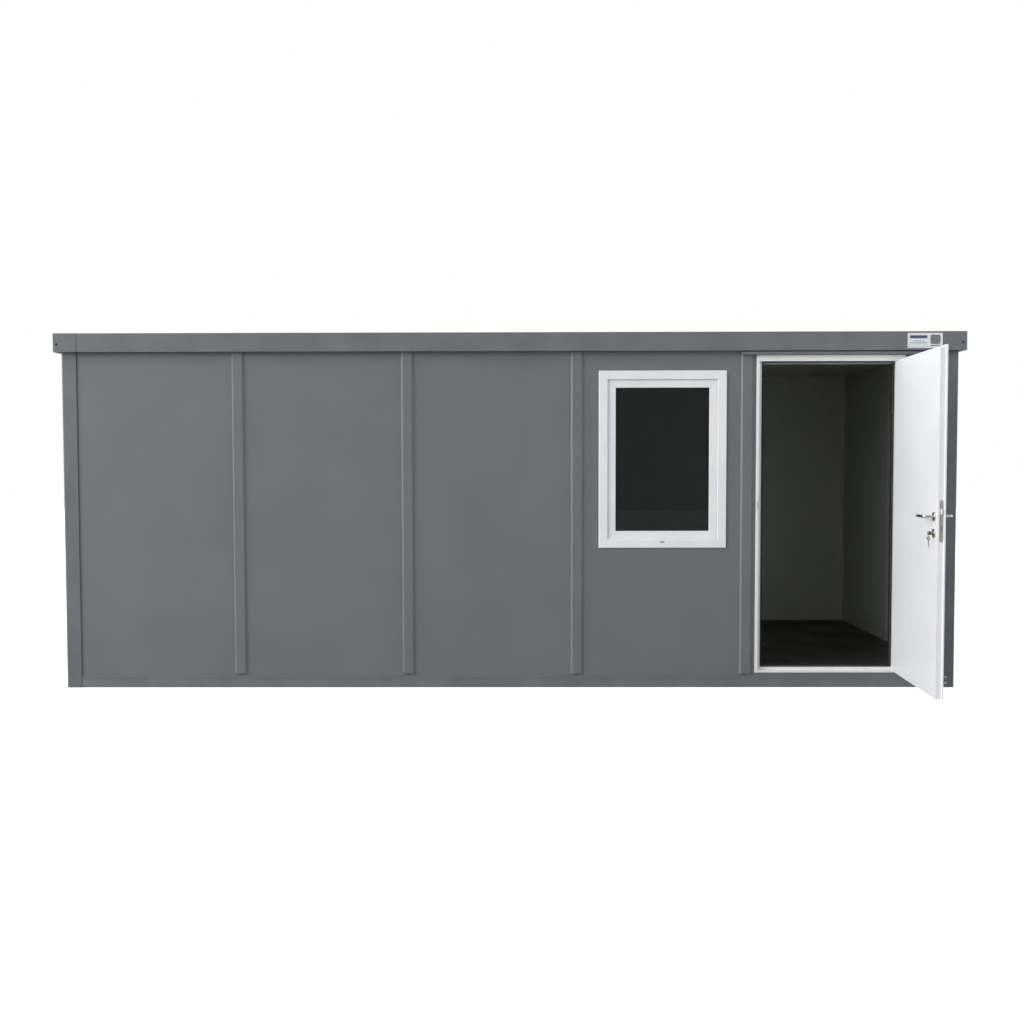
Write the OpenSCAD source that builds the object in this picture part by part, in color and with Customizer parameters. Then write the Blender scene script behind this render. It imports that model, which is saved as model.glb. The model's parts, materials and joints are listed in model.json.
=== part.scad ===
// Portable site cabin: a flat-pack office cabin on a steel frame, with sandwich wall panels,
// one fixed window and one outward-opening steel door. Millimetres, +Z up, front towards -Y.
// The origin is the middle of the footprint, at ground level.

/* [Cabin] */
// Length over the corner posts
cabin_length = 6055; // [5600:5:7300]
// Width over the corner posts
cabin_width = 2435; // [2000:5:3000]
// Height from the ground to the top of the roof frame
cabin_height = 2407; // [2380:1:2900]

/* [Base] */
// Height of the base rails
base_h = 79; // [66:1:120]
// Width of a base rail's flanges
base_w = 90; // [75:1:120]
// Plate thickness of the base rails
base_t = 4; // [3:1:6]
// Height of the proud lip along a base rail's top edge
lip_h = 13; // [8:1:20]
// How far the lip stands proud of the rail
lip_out = 3; // [1:1:5]
// Plate thickness of the corner blocks
corner_t = 6; // [4:1:10]
// Number of floor joists on each side of the middle one
joist_side_count = 4; // [2:1:4]
// Spacing of the floor joists
joist_pitch = 650; // [400:10:700]
// Width of a floor joist
joist_w = 60; // [40:1:100]
// Thickness of the insulated floor deck
floor_t = 46; // [20:1:60]

/* [Posts and roof frame] */
// Width of each leg of a corner post
post_w = 100; // [80:1:120]
// Plate thickness of a corner post
post_t = 8; // [5:1:12]
// Radius of a corner post's outer edge
post_r = 12; // [9:1:20]
// Height of the roof frame's fascia
fascia_h = 126; // [110:1:180]
// How far the roof frame overhangs the posts
roof_overhang = 38; // [20:1:60]
// Length of a roof corner piece along each side
roof_corner_l = 155; // [140:1:220]
// How far a roof corner piece stands proud of the fascia
corner_proud = 2; // [1:1:4]
// Plate thickness of the roof rails
rail_t = 4; // [3:1:6]
// How far the wall panels reach up inside the roof frame
wall_lap = 17; // [10:1:30]
// Diameter of the tie-bolt hole in each roof corner piece
tie_hole_d = 16; // [12:1:24]
// Thickness of the ceiling panel
ceiling_t = 50; // [30:1:60]
// Thickness of the roof sheet
sheet_t = 3; // [2:1:4]
// Height of a roof sheet rib
rib_h = 24; // [15:1:30]
// Spacing of the roof sheet's ribs
rib_pitch = 250; // [200:10:333]

/* [Walls] */
// Thickness of a wall panel
wall_t = 60; // [50:1:80]
// Width of one wall bay
bay_w = 1147; // [950:1:1200]
// Distance from the left post's outer face to the first panel joint
first_bay_w = 1194; // [1100:1:1300]
// Gap between neighbouring panels, under the cover strips
panel_gap = 2; // [1:1:4]
// Width of an outer cover strip
strip_w = 86; // [60:1:110]
// Thickness of an outer cover strip
strip_t = 12; // [6:1:20]
// Width of a cover strip's bevelled side
strip_bevel = 13; // [6:1:20]
// Height of the gap under the cover strips
strip_gap = 17; // [5:1:40]
// Width of an inner trim strip
trim_w = 40; // [30:1:60]
// Thickness of an inner trim strip
trim_t = 3; // [2:1:5]

/* [Window] */
// Width over the window frame
window_w = 861; // [700:1:900]
// Height over the window frame
window_h = 1197; // [900:1:1300]
// Height of the window frame's lower edge above the ground
window_z = 954; // [700:1:1000]
// Visible width of the window frame
window_frame_w = 60; // [50:1:80]
// How far the window frame stands proud of the wall
window_proud = 12; // [6:1:25]
// How far the window frame laps over the wall around the hole
window_lap = 18; // [10:1:25]
// Visible width of the sash
sash_w = 54; // [45:1:80]
// How far the sash sits behind the window frame's face
sash_set = 12; // [6:1:20]
// Thickness of the glazing unit
glass_t = 24; // [16:1:28]
// How deep the glazing unit sits in the sash
glass_bite = 12; // [8:1:20]

/* [Door] */
// Width over the door frame
door_frame_w = 1000; // [900:1:1060]
// Distance from the last panel joint to the door frame
door_offset = 63; // [55:1:90]
// Height of the door frame's lower edge above the base rail
door_rise = 22; // [10:1:60]
// Height over the door frame
door_frame_h = 2153; // [1950:1:2153]
// Width of the left jamb's face
jamb_l_w = 19; // [16:1:40]
// Width of the hinge jamb's face
jamb_r_w = 57; // [50:1:70]
// Height of the head's face
head_h = 41; // [25:1:60]
// Height of the sill's face
sill_h = 14; // [10:1:60]
// How far the stop stands into the opening, above, below and on the hinge side
stop_w = 17; // [12:1:25]
// How far the stop stands into the opening on the lock side
lock_stop_w = 31; // [12:1:40]
// Depth of the rebate that the leaf closes into
rebate_d = 34; // [30:1:44]
// Gap all round the leaf when it is closed
leaf_gap = 5.5; // [5:0.5:8]
// Thickness of the leaf's body behind its lip
leaf_body_t = 33; // [30:1:44]
// Thickness of the leaf's lip
leaf_lip_t = 8; // [5:1:10]
// How far the lip laps over the frame at the top and the lock side
leaf_lap = 14; // [10:1:14]
// Angle that the leaf stands open at rest
door_rest_angle = 87; // [0:1:110]
// Height of the door handle above the ground
handle_z = 1207; // [1000:1:1300]
// Distance from the leaf's lock edge to the handle's axis
backset = 65; // [50:1:80]
// Distance from the handle down to the lock cylinder
lock_spacing = 100; // [72:1:110]
// Height of the latch bolt above the handle's axis
latch_rise = 31; // [20:1:40]
// How far the latch bolt stands out of the leaf
latch_out = 11; // [8:1:14]

/* [Hidden] */

seat = 0.3;                 // clearance between pieces that seat in each other
$fn = 48;

half_l = cabin_length / 2;
half_w = cabin_width / 2;
out_l = half_l - post_t;    // outer faces of the end walls
out_w = half_w - post_t;    // outer faces of the long walls
in_l = out_l - wall_t;      // inner faces of the end walls
in_w = out_w - wall_t;      // inner faces of the long walls
soffit_z = cabin_height - fascia_h;
wall_top = soffit_z + wall_lap;
wall_h = wall_top - base_h;
floor_top = base_h + floor_t;
inner_h = wall_top - floor_top;

joint_x = [for (i = [0:3]) first_bay_w - half_l + i * bay_w];
end_joint_y = 0;            // panel joint in the middle of each end wall
strip_z = base_h + strip_gap;
drip_h = 20;                // drip rail over the door
drip_t = 34;
drip_gap = 6;               // from the drip rail up to the roof frame
drip_z = soffit_z - drip_h - drip_gap;

web_rise = 87;              // from the soffit up to the lip that carries the roof sheet
web_top = soffit_z + web_rise;
web_lip = 34;               // width of the lip that carries the sheet
sheet_bearing = 28;         // how far the sheet lies on that lip
rib_foot = 30;              // half widths of a roof sheet rib at its foot and crown
rib_crown = 15;
fascia_lip = 22;            // width of the lip along the fascia's top
tie_hole_in = 25;           // from a roof corner's edge to the middle of its tie-bolt hole
tie_hole_up = 52;           // from the soffit up to the same hole
rail_y = half_w + roof_overhang - corner_proud;
rail_x = half_l + roof_overhang - corner_proud;
corner_y = half_w + roof_overhang;
corner_x = half_l + roof_overhang;

// The window sits a little right of the middle: the wall beside it is shared out 148 to 138.
window_wall_l = 148;
window_wall_r = 138;
window_x = joint_x[2] + (bay_w - window_w) * window_wall_l / (window_wall_l + window_wall_r);
hole_w = window_w - 2 * window_lap;
hole_h = window_h - 2 * window_lap;
sash_open_w = window_w - 2 * window_frame_w;
sash_open_h = window_h - 2 * window_frame_w;

door_x = joint_x[3] + door_offset;
door_z = base_h + door_rise;
door_face_y = -half_w;
face_gap = 0.5;             // between the frame's face and the lip of the closed leaf
stop_y = door_face_y + rebate_d + face_gap;
sill_stop_h = stop_w + 14;  // height of the stop over the sill
rebate_x0 = door_x + jamb_l_w;
rebate_x1 = door_x + door_frame_w - jamb_r_w;
rebate_z0 = door_z + sill_h;
rebate_z1 = door_z + door_frame_h - head_h;

// The hinge axis stands off the frame, so the leaf's lip clears the jamb as it turns.
hinge_off = leaf_gap + leaf_lip_t + face_gap;
hinge_side = 20;            // from the rebate to the hinge axis
hinge_lap = 6;              // how far the lip laps on the hinge side
hinge_x = rebate_x1 + hinge_side;
hinge_y = door_face_y - hinge_off;

// The leaf is drawn closed, from the hinge axis: -x runs to the lock side, +y into the room.
lip_y = face_gap;
body_y = lip_y + leaf_lip_t;
leaf_in_y = body_y + leaf_body_t;
body_x0 = rebate_x0 + leaf_gap - hinge_x;
body_x1 = -hinge_side - leaf_gap;
leaf_z0 = rebate_z0 + leaf_gap;
leaf_z1 = rebate_z1 - leaf_gap;
lip_x1 = body_x1 + hinge_lap;
handle_x = body_x0 + backset;
lock_z = handle_z - lock_spacing;
plate_w = 24;               // lock faceplate
plate_h = 250;
plate_t = 3;
plate_off = 4;              // from the middle of the body's edge to the plate's, outwards
plate_y = body_y + leaf_body_t / 2 - plate_off;
plate_rise = 24;            // the plate's middle, above the middle of the handle and the cylinder
plate_z = (handle_z + lock_z) / 2 + plate_rise;
latch_w = 12;
latch_h = 32;
latch_l = 50;
latch_z = handle_z + latch_rise;
latch_bevel = 8;            // how far back the bolt's slope runs
latch_clear = 5;            // room around the latch bolt in the jamb
latch_travel_room = 6;      // room behind the bolt when it is drawn in
pocket_gap = 1;             // room around the bolt in the leaf
rose_r = 27;
rose_t = 9;
spindle_s = 8;
spindle_hole_r = 6.5;
neck_r = 9;
lever_reach = 65;           // from the leaf's face to the lever's middle
lever_l = 140;
lever_r = 8.5;
lever_tip_l = 20;
spindle_in = 5;             // how far the spindle reaches into each lever's neck
cylinder_r = 8.7;
cylinder_out = 12;          // how far the lock cylinder stands out of the leaf
key_out = 17;               // from the cylinder's face to the middle of the key's bow
key_t = 2.4;
key_w = 7;
spare_blade = 52;           // blade length of the key that hangs from the ring
bow_r = 12;
bow_hole_r = 3;
bow_hole_in = 5;            // from the bow's middle to its ring hole
ring_r = 11;
ring_wire_r = 1;
hinge_r = 8;
pin_r = 4;
pin_clear = 0.05;
pin_end = 1;                // room over the pin's end
hinge_cap_t = 2;            // thickness of the knuckle over the pin
knuckle_h = 45;
hinge_plate_t = 4;
hinge_leaf_w = 52;          // width of the plate on the leaf
hinge_z = [for (k = [0.11, 0.5, 0.89]) leaf_z0 + k * (leaf_z1 - leaf_z0)];

sign_w = 234;               // name plate on the fascia
sign_h = 100;
sign_t = 2;
sign_gap = 8;               // from the plate to the roof corner piece
sign_rise = 14;             // from the soffit up to the plate

steel_grey = "#6c6f73";
frame_grey = "#63666a";
dark_grey = "#3c3e41";
window_white = "#f2f3f3";
door_white = "#e6e6e8";
inner_grey = "#8d9088";
bright_steel = "#b9bcc0";
brass_yellow = "#b89a55";

// A box from its lowest corner to its highest.
module box(p, q) {
    translate(p) cube(q - p);
}

// Copies of the front-left corner at all four corners.
module four_corners() {
    for (mx = [0, 1], my = [0, 1]) mirror([mx, 0, 0]) mirror([0, my, 0]) children();
}

// A section drawn in (depth, height), run along X between two ends.
module run_x(x0, x1) {
    translate([x0, 0, 0]) rotate([90, 0, 90]) linear_extrude(x1 - x0) children();
}

// The same section run along Y between two ends, on the left side.
module run_y(y0, y1) {
    translate([0, y1, 0]) rotate([90, 0, 0]) linear_extrude(y1 - y0) children();
}

// ---- base ----

module base_section(face) {
    translate([face + lip_out, 0]) square([base_t, base_h]);
    translate([face, base_h - lip_h]) square([lip_out + base_t, lip_h]);
    translate([face, base_h - base_t]) square([base_w, base_t]);
    translate([face + lip_out, 0]) square([base_w - lip_out, base_t]);
}

module base_front_rail() color(frame_grey) run_x(post_w - half_l, half_l - post_w) base_section(-half_w);

module base_back_rail() mirror([0, 1, 0]) base_front_rail();

module base_side_rails() color(frame_grey) for (m = [0, 1]) mirror([m, 0, 0])
    run_y(post_w - half_w, half_w - post_w) base_section(-half_l);

module base_corners() color(frame_grey) four_corners() translate([-half_l, -half_w, 0]) difference() {
    post_outline(base_h);
    translate([corner_t, corner_t, corner_t]) cube([post_w, post_w, base_h - 2 * corner_t]);
}

module floor_joists() color(dark_grey) for (i = [-joist_side_count:joist_side_count])
    translate([i * joist_pitch, 0, base_h / 2]) difference() {
        cube([joist_w, 2 * (half_w - base_w), base_h], center = true);
        cube([joist_w - 2 * base_t, 2 * half_w, base_h - 2 * base_t], center = true);
    }

module floor_deck() color("#2b2623")
    box([panel_gap - in_l, panel_gap - in_w, base_h], [in_l - panel_gap, in_w - panel_gap, floor_top]);

// ---- posts ----

// A full square with one rounded corner, from a corner at the origin.
module post_outline(h) {
    linear_extrude(h) {
        translate([post_r, 0]) square([post_w - post_r, post_w]);
        translate([0, post_r]) square([post_w, post_w - post_r]);
        translate([post_r, post_r]) circle(post_r);
    }
}

module corner_posts() color(frame_grey) four_corners() translate([-half_l, -half_w, base_h]) difference() {
    post_outline(soffit_z - base_h);
    translate([post_t, post_t, -1]) cube([post_w, post_w, soffit_z]);
}

// ---- roof ----

// face: the fascia's outer face, wall: the wall's outer face, both on the negative side.
module roof_section(face, wall) {
    inner = wall + wall_t;
    translate([face, soffit_z]) square([rail_t, fascia_h]);
    translate([face, soffit_z]) square([wall - face, rail_t]);
    translate([wall - rail_t, soffit_z]) square([rail_t, wall_lap + rail_t]);
    translate([wall - rail_t, wall_top]) square([wall_t + rail_t, rail_t]);
    translate([inner - rail_t, wall_top]) square([rail_t, web_top - wall_top]);
    translate([inner - web_lip, web_top - rail_t]) square([web_lip, rail_t]);
    translate([face, cabin_height - rail_t]) square([fascia_lip, rail_t]);
}

module roof_front_rail() color(steel_grey)
    run_x(roof_corner_l - corner_x, corner_x - roof_corner_l) roof_section(-rail_y, -out_w);

module roof_back_rail() mirror([0, 1, 0]) roof_front_rail();

module roof_side_rails() color(steel_grey) for (m = [0, 1]) mirror([m, 0, 0])
    run_y(roof_corner_l - corner_y, corner_y - roof_corner_l) roof_section(-rail_x, -out_l);

module roof_corners() color(steel_grey) four_corners() difference() {
    box([-corner_x, -corner_y, soffit_z],
        [roof_corner_l - corner_x, roof_corner_l - corner_y, cabin_height]);
    box([corner_t - corner_x, corner_t - corner_y, soffit_z + corner_t],
        [roof_corner_l + 1 - corner_x, roof_corner_l + 1 - corner_y, cabin_height - corner_t]);
    box([-out_l, -out_w, soffit_z - 1],
        [roof_corner_l + 1 - corner_x, roof_corner_l + 1 - corner_y, wall_top + rail_t]);
    translate([tie_hole_in - corner_x, 1 - corner_y + corner_t, soffit_z + tie_hole_up])
        rotate([90, 0, 0]) cylinder(d = tie_hole_d, h = corner_t + 2);
}

module ceiling_panel() color("#b9bbb5")
    box([-in_l, -in_w, wall_top], [in_l, in_w, wall_top + ceiling_t]);

module roof_sheet() color("#8a8d90") {
    half_x = in_l + sheet_bearing;
    half_y = in_w + sheet_bearing;
    ribs = floor((2 * half_x - rib_pitch / 2) / rib_pitch);
    first = -(ribs - 1) * rib_pitch / 2;
    rib = [[-rib_foot, 0], [-rib_crown, rib_h], [rib_crown, rib_h], [rib_foot, 0]];
    top = [for (i = [0:ribs - 1], p = rib) [first + i * rib_pitch + p[0], p[1]]];
    low = [for (i = [len(top) - 1:-1:0]) top[i]];
    outline = concat([[-half_x, sheet_t]], [for (p = top) p + [0, sheet_t]], [[half_x, sheet_t], [half_x, 0]],
        low, [[-half_x, 0]]);
    translate([0, half_y, web_top]) rotate([90, 0, 0]) linear_extrude(2 * half_y) polygon(outline);
}

// ---- walls ----

// A panel of the front wall between two places along X.
module front_panel(x0, x1, z0 = base_h, z1 = wall_top) {
    box([x0, -out_w, z0], [x1, -in_w, z1]);
}

module front_panel_1() color(steel_grey) front_panel(-out_l, joint_x[0] - panel_gap / 2);

module front_panel_2() color(steel_grey) front_panel(joint_x[0] + panel_gap / 2, joint_x[1] - panel_gap / 2);

module front_panel_3() color(steel_grey) front_panel(joint_x[1] + panel_gap / 2, joint_x[2] - panel_gap / 2);

module window_panel() color(steel_grey) difference() {
    front_panel(joint_x[2] + panel_gap / 2, joint_x[3] - panel_gap / 2);
    translate([window_x + window_lap, -half_w, window_z + window_lap]) cube([hole_w, 2 * wall_t, hole_h]);
}

module door_panel_left() color(steel_grey) front_panel(joint_x[3] + panel_gap / 2, door_x);

module door_panel_right() color(steel_grey) front_panel(door_x + door_frame_w, out_l);

module door_panel_top() color(steel_grey)
    front_panel(door_x, door_x + door_frame_w, door_z + door_frame_h, wall_top);

module door_threshold() color(dark_grey)
    box([door_x, door_face_y, base_h], [door_x + door_frame_w, -in_w, door_z]);

module back_panels() color(steel_grey) {
    edges = concat([-out_l - panel_gap / 2], joint_x, [out_l + panel_gap / 2]);
    for (i = [0:len(joint_x)])
        box([edges[i] + panel_gap / 2, in_w, base_h], [edges[i + 1] - panel_gap / 2, out_w, wall_top]);
}

module left_panels() color(steel_grey) for (m = [0, 1]) mirror([0, m, 0])
    box([-out_l, -in_w, base_h], [-in_l, end_joint_y - panel_gap / 2, wall_top]);

module right_panels() mirror([1, 0, 0]) left_panels();

// An outer cover strip, standing on the wall plane y = 0 and centred on x = 0.
module strip(z0, z1) {
    w = strip_w / 2;
    translate([0, 0, z0]) linear_extrude(z1 - z0)
        polygon([[-w, 0], [-w + strip_bevel, -strip_t], [w - strip_bevel, -strip_t], [w, 0]]);
}

// The last front strip ends under the drip rail.
module front_strips() color(steel_grey) for (x = joint_x)
    translate([x, -out_w, 0]) strip(strip_z, x == joint_x[3] ? drip_z : soffit_z);

module back_strips() color(steel_grey) for (x = joint_x)
    translate([x, out_w, 0]) rotate([0, 0, 180]) strip(strip_z, soffit_z);

module side_strips() color(steel_grey) for (m = [0, 1]) mirror([m, 0, 0])
    translate([-out_l, end_joint_y, 0]) rotate([0, 0, -90]) strip(strip_z, soffit_z);

module door_drip_rail() color(steel_grey)
    box([joint_x[3] - strip_w / 2, -out_w - drip_t, drip_z], [half_l - post_w, -out_w, drip_z + drip_h]);

module inner_trims() color(inner_grey) {
    four_corners() difference() {
        box([-in_l, -in_w, floor_top], [trim_w - in_l, trim_w - in_w, wall_top]);
        box([trim_t - in_l, trim_t - in_w, 0], [trim_w + 1 - in_l, trim_w + 1 - in_w, cabin_height]);
    }
    for (x = joint_x, s = [-1, 1])
        translate([x - trim_w / 2, s > 0 ? in_w - trim_t : -in_w, floor_top]) cube([trim_w, trim_t, inner_h]);
    for (m = [0, 1]) mirror([m, 0, 0])
        translate([-in_l, end_joint_y - trim_w / 2, floor_top]) cube([trim_t, trim_w, inner_h]);
}

// ---- window ----

// A square ring in the window's plane, w by h, with sides of the given width.
module ring(w, h, side, y0, y1) {
    cx = window_x + window_w / 2;
    cz = window_z + window_h / 2;
    difference() {
        box([cx - w / 2, y0, cz - h / 2], [cx + w / 2, y1, cz + h / 2]);
        box([cx - w / 2 + side, y0 - 1, cz - h / 2 + side], [cx + w / 2 - side, y1 + 1, cz + h / 2 - side]);
    }
}

module window_frame() color(window_white) {
    ring(window_w, window_h, window_frame_w, -out_w - window_proud, -out_w);
    ring(hole_w - 2 * seat, hole_h - 2 * seat, window_frame_w - window_lap - seat, -out_w - 1, -in_w);
}

module window_sash() color(window_white) difference() {
    sash_y = sash_set - window_proud - out_w;
    ring(sash_open_w - 2 * seat, sash_open_h - 2 * seat, sash_w - seat, sash_y, -in_w);
    glass_block(seat);
}

// The glazing unit, or with spare > 0 the groove that takes it.
module glass_block(spare) {
    cx = window_x + window_w / 2;
    cz = window_z + window_h / 2;
    w = sash_open_w / 2 - sash_w + glass_bite + spare;
    h = sash_open_h / 2 - sash_w + glass_bite + spare;
    mid = -out_w + wall_t / 2;
    box([cx - w, mid - glass_t / 2 - spare, cz - h], [cx + w, mid + glass_t / 2 + spare, cz + h]);
}

module window_glass() color("#22282d") glass_block(0);

// ---- door frame ----

// The keep for the latch bolt is open towards the front, so the bolt swings in.
module door_jamb_left() color(door_white) difference() {
    union() {
        box([door_x, door_face_y, door_z], [rebate_x0, -in_w, door_z + door_frame_h]);
        box([door_x, stop_y, door_z], [rebate_x0 + lock_stop_w, -in_w, door_z + door_frame_h]);
    }
    keep_h = latch_h / 2 + latch_clear;
    box([rebate_x0 + leaf_gap - latch_out - latch_clear, door_face_y - 1, latch_z - keep_h],
        [rebate_x0 + 1, hinge_y + plate_y + latch_w / 2 + latch_clear, latch_z + keep_h]);
}

module door_jamb_right() color(door_white) {
    box([rebate_x1, door_face_y, door_z], [door_x + door_frame_w, -in_w, door_z + door_frame_h]);
    box([rebate_x1 - stop_w, stop_y, door_z], [door_x + door_frame_w, -in_w, door_z + door_frame_h]);
}

module door_head() color(door_white) {
    top = door_z + door_frame_h;
    box([rebate_x0, door_face_y, rebate_z1], [rebate_x1, stop_y, top]);
    box([rebate_x0 + lock_stop_w, stop_y, rebate_z1 - stop_w], [rebate_x1 - stop_w, -in_w, top]);
}

module door_sill() color("#d9d6cc") {
    box([rebate_x0, door_face_y, door_z], [rebate_x1, stop_y, rebate_z0]);
    box([rebate_x0 + lock_stop_w, stop_y, door_z], [rebate_x1 - stop_w, -in_w, rebate_z0 + sill_stop_h]);
}

// ---- door leaf, drawn closed and turned to its rest angle ----

module on_leaf() {
    translate([hinge_x, hinge_y, 0]) rotate([0, 0, door_rest_angle]) children();
}

module hinges_frame() color(bright_steel) for (z = hinge_z)
    translate([hinge_x, hinge_y, z - knuckle_h]) {
        low_h = knuckle_h - seat / 2;
        cylinder(r = hinge_r, h = low_h);
        cylinder(r = pin_r, h = 2 * knuckle_h - hinge_cap_t - pin_end);
        translate([-pin_r, 0, 0]) cube([pin_r + hinge_r, hinge_off, low_h]);
        translate([0, hinge_off - hinge_plate_t, 0])
            cube([jamb_r_w - hinge_side - hinge_plate_t, hinge_plate_t, low_h]);
    }

module hinges_leaf() color(bright_steel) on_leaf() for (z = hinge_z)
    translate([0, 0, z + seat / 2]) difference() {
        union() {
            cylinder(r = hinge_r, h = knuckle_h);
            translate([-hinge_leaf_w, lip_y - hinge_plate_t, 0])
                cube([hinge_leaf_w, hinge_plate_t, knuckle_h]);
        }
        translate([0, 0, -1]) cylinder(r = pin_r + pin_clear, h = knuckle_h + 1 - hinge_cap_t);
    }

module plate_outline(w, h, t) {
    rotate([0, 90, 0]) linear_extrude(t) {
        square([h - w, w], center = true);
        for (s = [-1, 1]) translate([s * (h - w) / 2, 0]) circle(w / 2);
    }
}

module door_leaf() color(door_white) on_leaf() difference() {
    union() {
        box([body_x0, body_y - 1, leaf_z0], [body_x1, leaf_in_y, leaf_z1]);
        box([body_x0 - leaf_lap, lip_y, leaf_z0], [lip_x1, body_y, leaf_z1 + leaf_lap]);
    }
    translate([body_x0 - 1, plate_y, plate_z])
        plate_outline(plate_w + 2 * seat, plate_h + 2 * seat, plate_t + 1);
    latch_pocket(latch_l + latch_out + latch_travel_room);
    translate([handle_x, leaf_in_y + 1, handle_z]) rotate([90, 0, 0])
        cylinder(r = spindle_hole_r, h = leaf_in_y + 2);
    translate([handle_x, leaf_in_y + 1, lock_z]) rotate([90, 0, 0])
        cylinder(r = cylinder_r + seat, h = leaf_in_y + 2);
}

// Room for the latch bolt, from the leaf's edge inwards.
module latch_pocket(depth) {
    translate([body_x0 - 1, plate_y - latch_w / 2 - pocket_gap, latch_z - latch_h / 2 - pocket_gap])
        cube([depth, latch_w + 2 * pocket_gap, latch_h + 2 * pocket_gap]);
}

module lock_faceplate() color(bright_steel) on_leaf() difference() {
    translate([body_x0, plate_y, plate_z]) plate_outline(plate_w, plate_h, plate_t - seat);
    latch_pocket(plate_t + 2);
}

// A round plate on each face of the leaf, with a hole through it.
module rose_pair(z, hole_r) {
    for (face = [leaf_in_y, lip_y - rose_t])
        translate([handle_x, face + rose_t, z]) rotate([90, 0, 0]) difference() {
            cylinder(r = rose_r, h = rose_t);
            translate([0, 0, -1]) cylinder(r = hole_r, h = rose_t + 2);
        }
}

module lock_roses() color(bright_steel) on_leaf() {
    rose_pair(handle_z, neck_r + 1);
    rose_pair(lock_z, cylinder_r + seat);
}

module lock_cylinder() color(brass_yellow) on_leaf()
    translate([handle_x, leaf_in_y + cylinder_out, lock_z]) rotate([90, 0, 0])
        cylinder(r = cylinder_r, h = leaf_in_y - lip_y + 2 * cylinder_out);

// A key's round bow with a ring hole, in the (y, z) plane, and its blade along -y.
module key_shape(blade) difference() {
    union() {
        translate([-key_t / 2, 0, 0]) rotate([0, 90, 0]) cylinder(r = bow_r, h = key_t);
        translate([-key_t / 2, -blade, -key_w / 2]) cube([key_t, blade, key_w]);
    }
    translate([-key_t, bow_hole_in, 0]) rotate([0, 90, 0]) cylinder(r = bow_hole_r, h = 2 * key_t);
}

// The split ring hangs through the bow's hole, and the spare key hangs from the ring.
module keys() color(brass_yellow) on_leaf() translate([handle_x, leaf_in_y + cylinder_out + key_out, 0]) {
    ring_z = lock_z - bow_hole_r + ring_wire_r + seat - ring_r;
    spare_z = ring_z - ring_r + ring_wire_r + seat - bow_hole_r - bow_hole_in;
    translate([0, 0, lock_z]) key_shape(key_out - seat);
    translate([0, bow_hole_in, ring_z]) rotate([90, 0, 0])
        rotate_extrude() translate([ring_r, 0]) circle(ring_wire_r);
    translate([0, bow_hole_in, spare_z]) rotate([90, 0, 0]) key_shape(spare_blade);
}

// One lever: a neck out of the rose, a grip towards the hinge side, and a tip turned back in.
module lever() {
    sphere(r = lever_r);
    translate([0, -lever_reach + 1, 0]) rotate([-90, 0, 0]) cylinder(r = neck_r, h = lever_reach - 1);
    rotate([0, 90, 0]) cylinder(r = lever_r, h = lever_l);
    translate([lever_l, 0, 0]) sphere(r = lever_r);
    translate([lever_l, 0, 0]) rotate([90, 0, 0]) cylinder(r = lever_r, h = lever_tip_l);
}

module door_handle() color(bright_steel) on_leaf() {
    translate([handle_x, leaf_in_y + lever_reach, handle_z]) lever();
    translate([handle_x, lip_y - lever_reach, handle_z]) mirror([0, 1, 0]) lever();
    box([handle_x - spindle_s / 2, lip_y - spindle_in, handle_z - spindle_s / 2],
        [handle_x + spindle_s / 2, leaf_in_y + spindle_in, handle_z + spindle_s / 2]);
}

module latch_bolt() color(bright_steel) on_leaf()
    translate([body_x0 - latch_out, plate_y, latch_z - latch_h / 2])
    linear_extrude(latch_h) polygon([
        [0, latch_w / 2], [latch_l, latch_w / 2], [latch_l, -latch_w / 2], [latch_bevel, -latch_w / 2], [0, 0]
    ]);

// ---- plate on the fascia ----

module name_plate() color("#dfe3e6")
    translate([corner_x - roof_corner_l - sign_gap - sign_w, -rail_y - sign_t, soffit_z + sign_rise])
        cube([sign_w, sign_t, sign_h]);

base_front_rail();
base_back_rail();
base_side_rails();
base_corners();
floor_joists();
floor_deck();
corner_posts();
roof_front_rail();
roof_back_rail();
roof_side_rails();
roof_corners();
ceiling_panel();
roof_sheet();
front_panel_1();
front_panel_2();
front_panel_3();
window_panel();
door_panel_left();
door_panel_right();
door_panel_top();
door_threshold();
back_panels();
left_panels();
right_panels();
front_strips();
back_strips();
side_strips();
door_drip_rail();
inner_trims();
window_frame();
window_sash();
window_glass();
door_jamb_left();
door_jamb_right();
door_head();
door_sill();
hinges_frame();
door_leaf();
hinges_leaf();
lock_faceplate();
lock_roses();
lock_cylinder();
keys();
door_handle();
latch_bolt();
name_plate();
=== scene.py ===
# Portable site cabin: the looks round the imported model. Metres, +Z up, front towards -Y.
import json
import math

import bmesh
import bpy
from mathutils import Matrix, Vector

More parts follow.
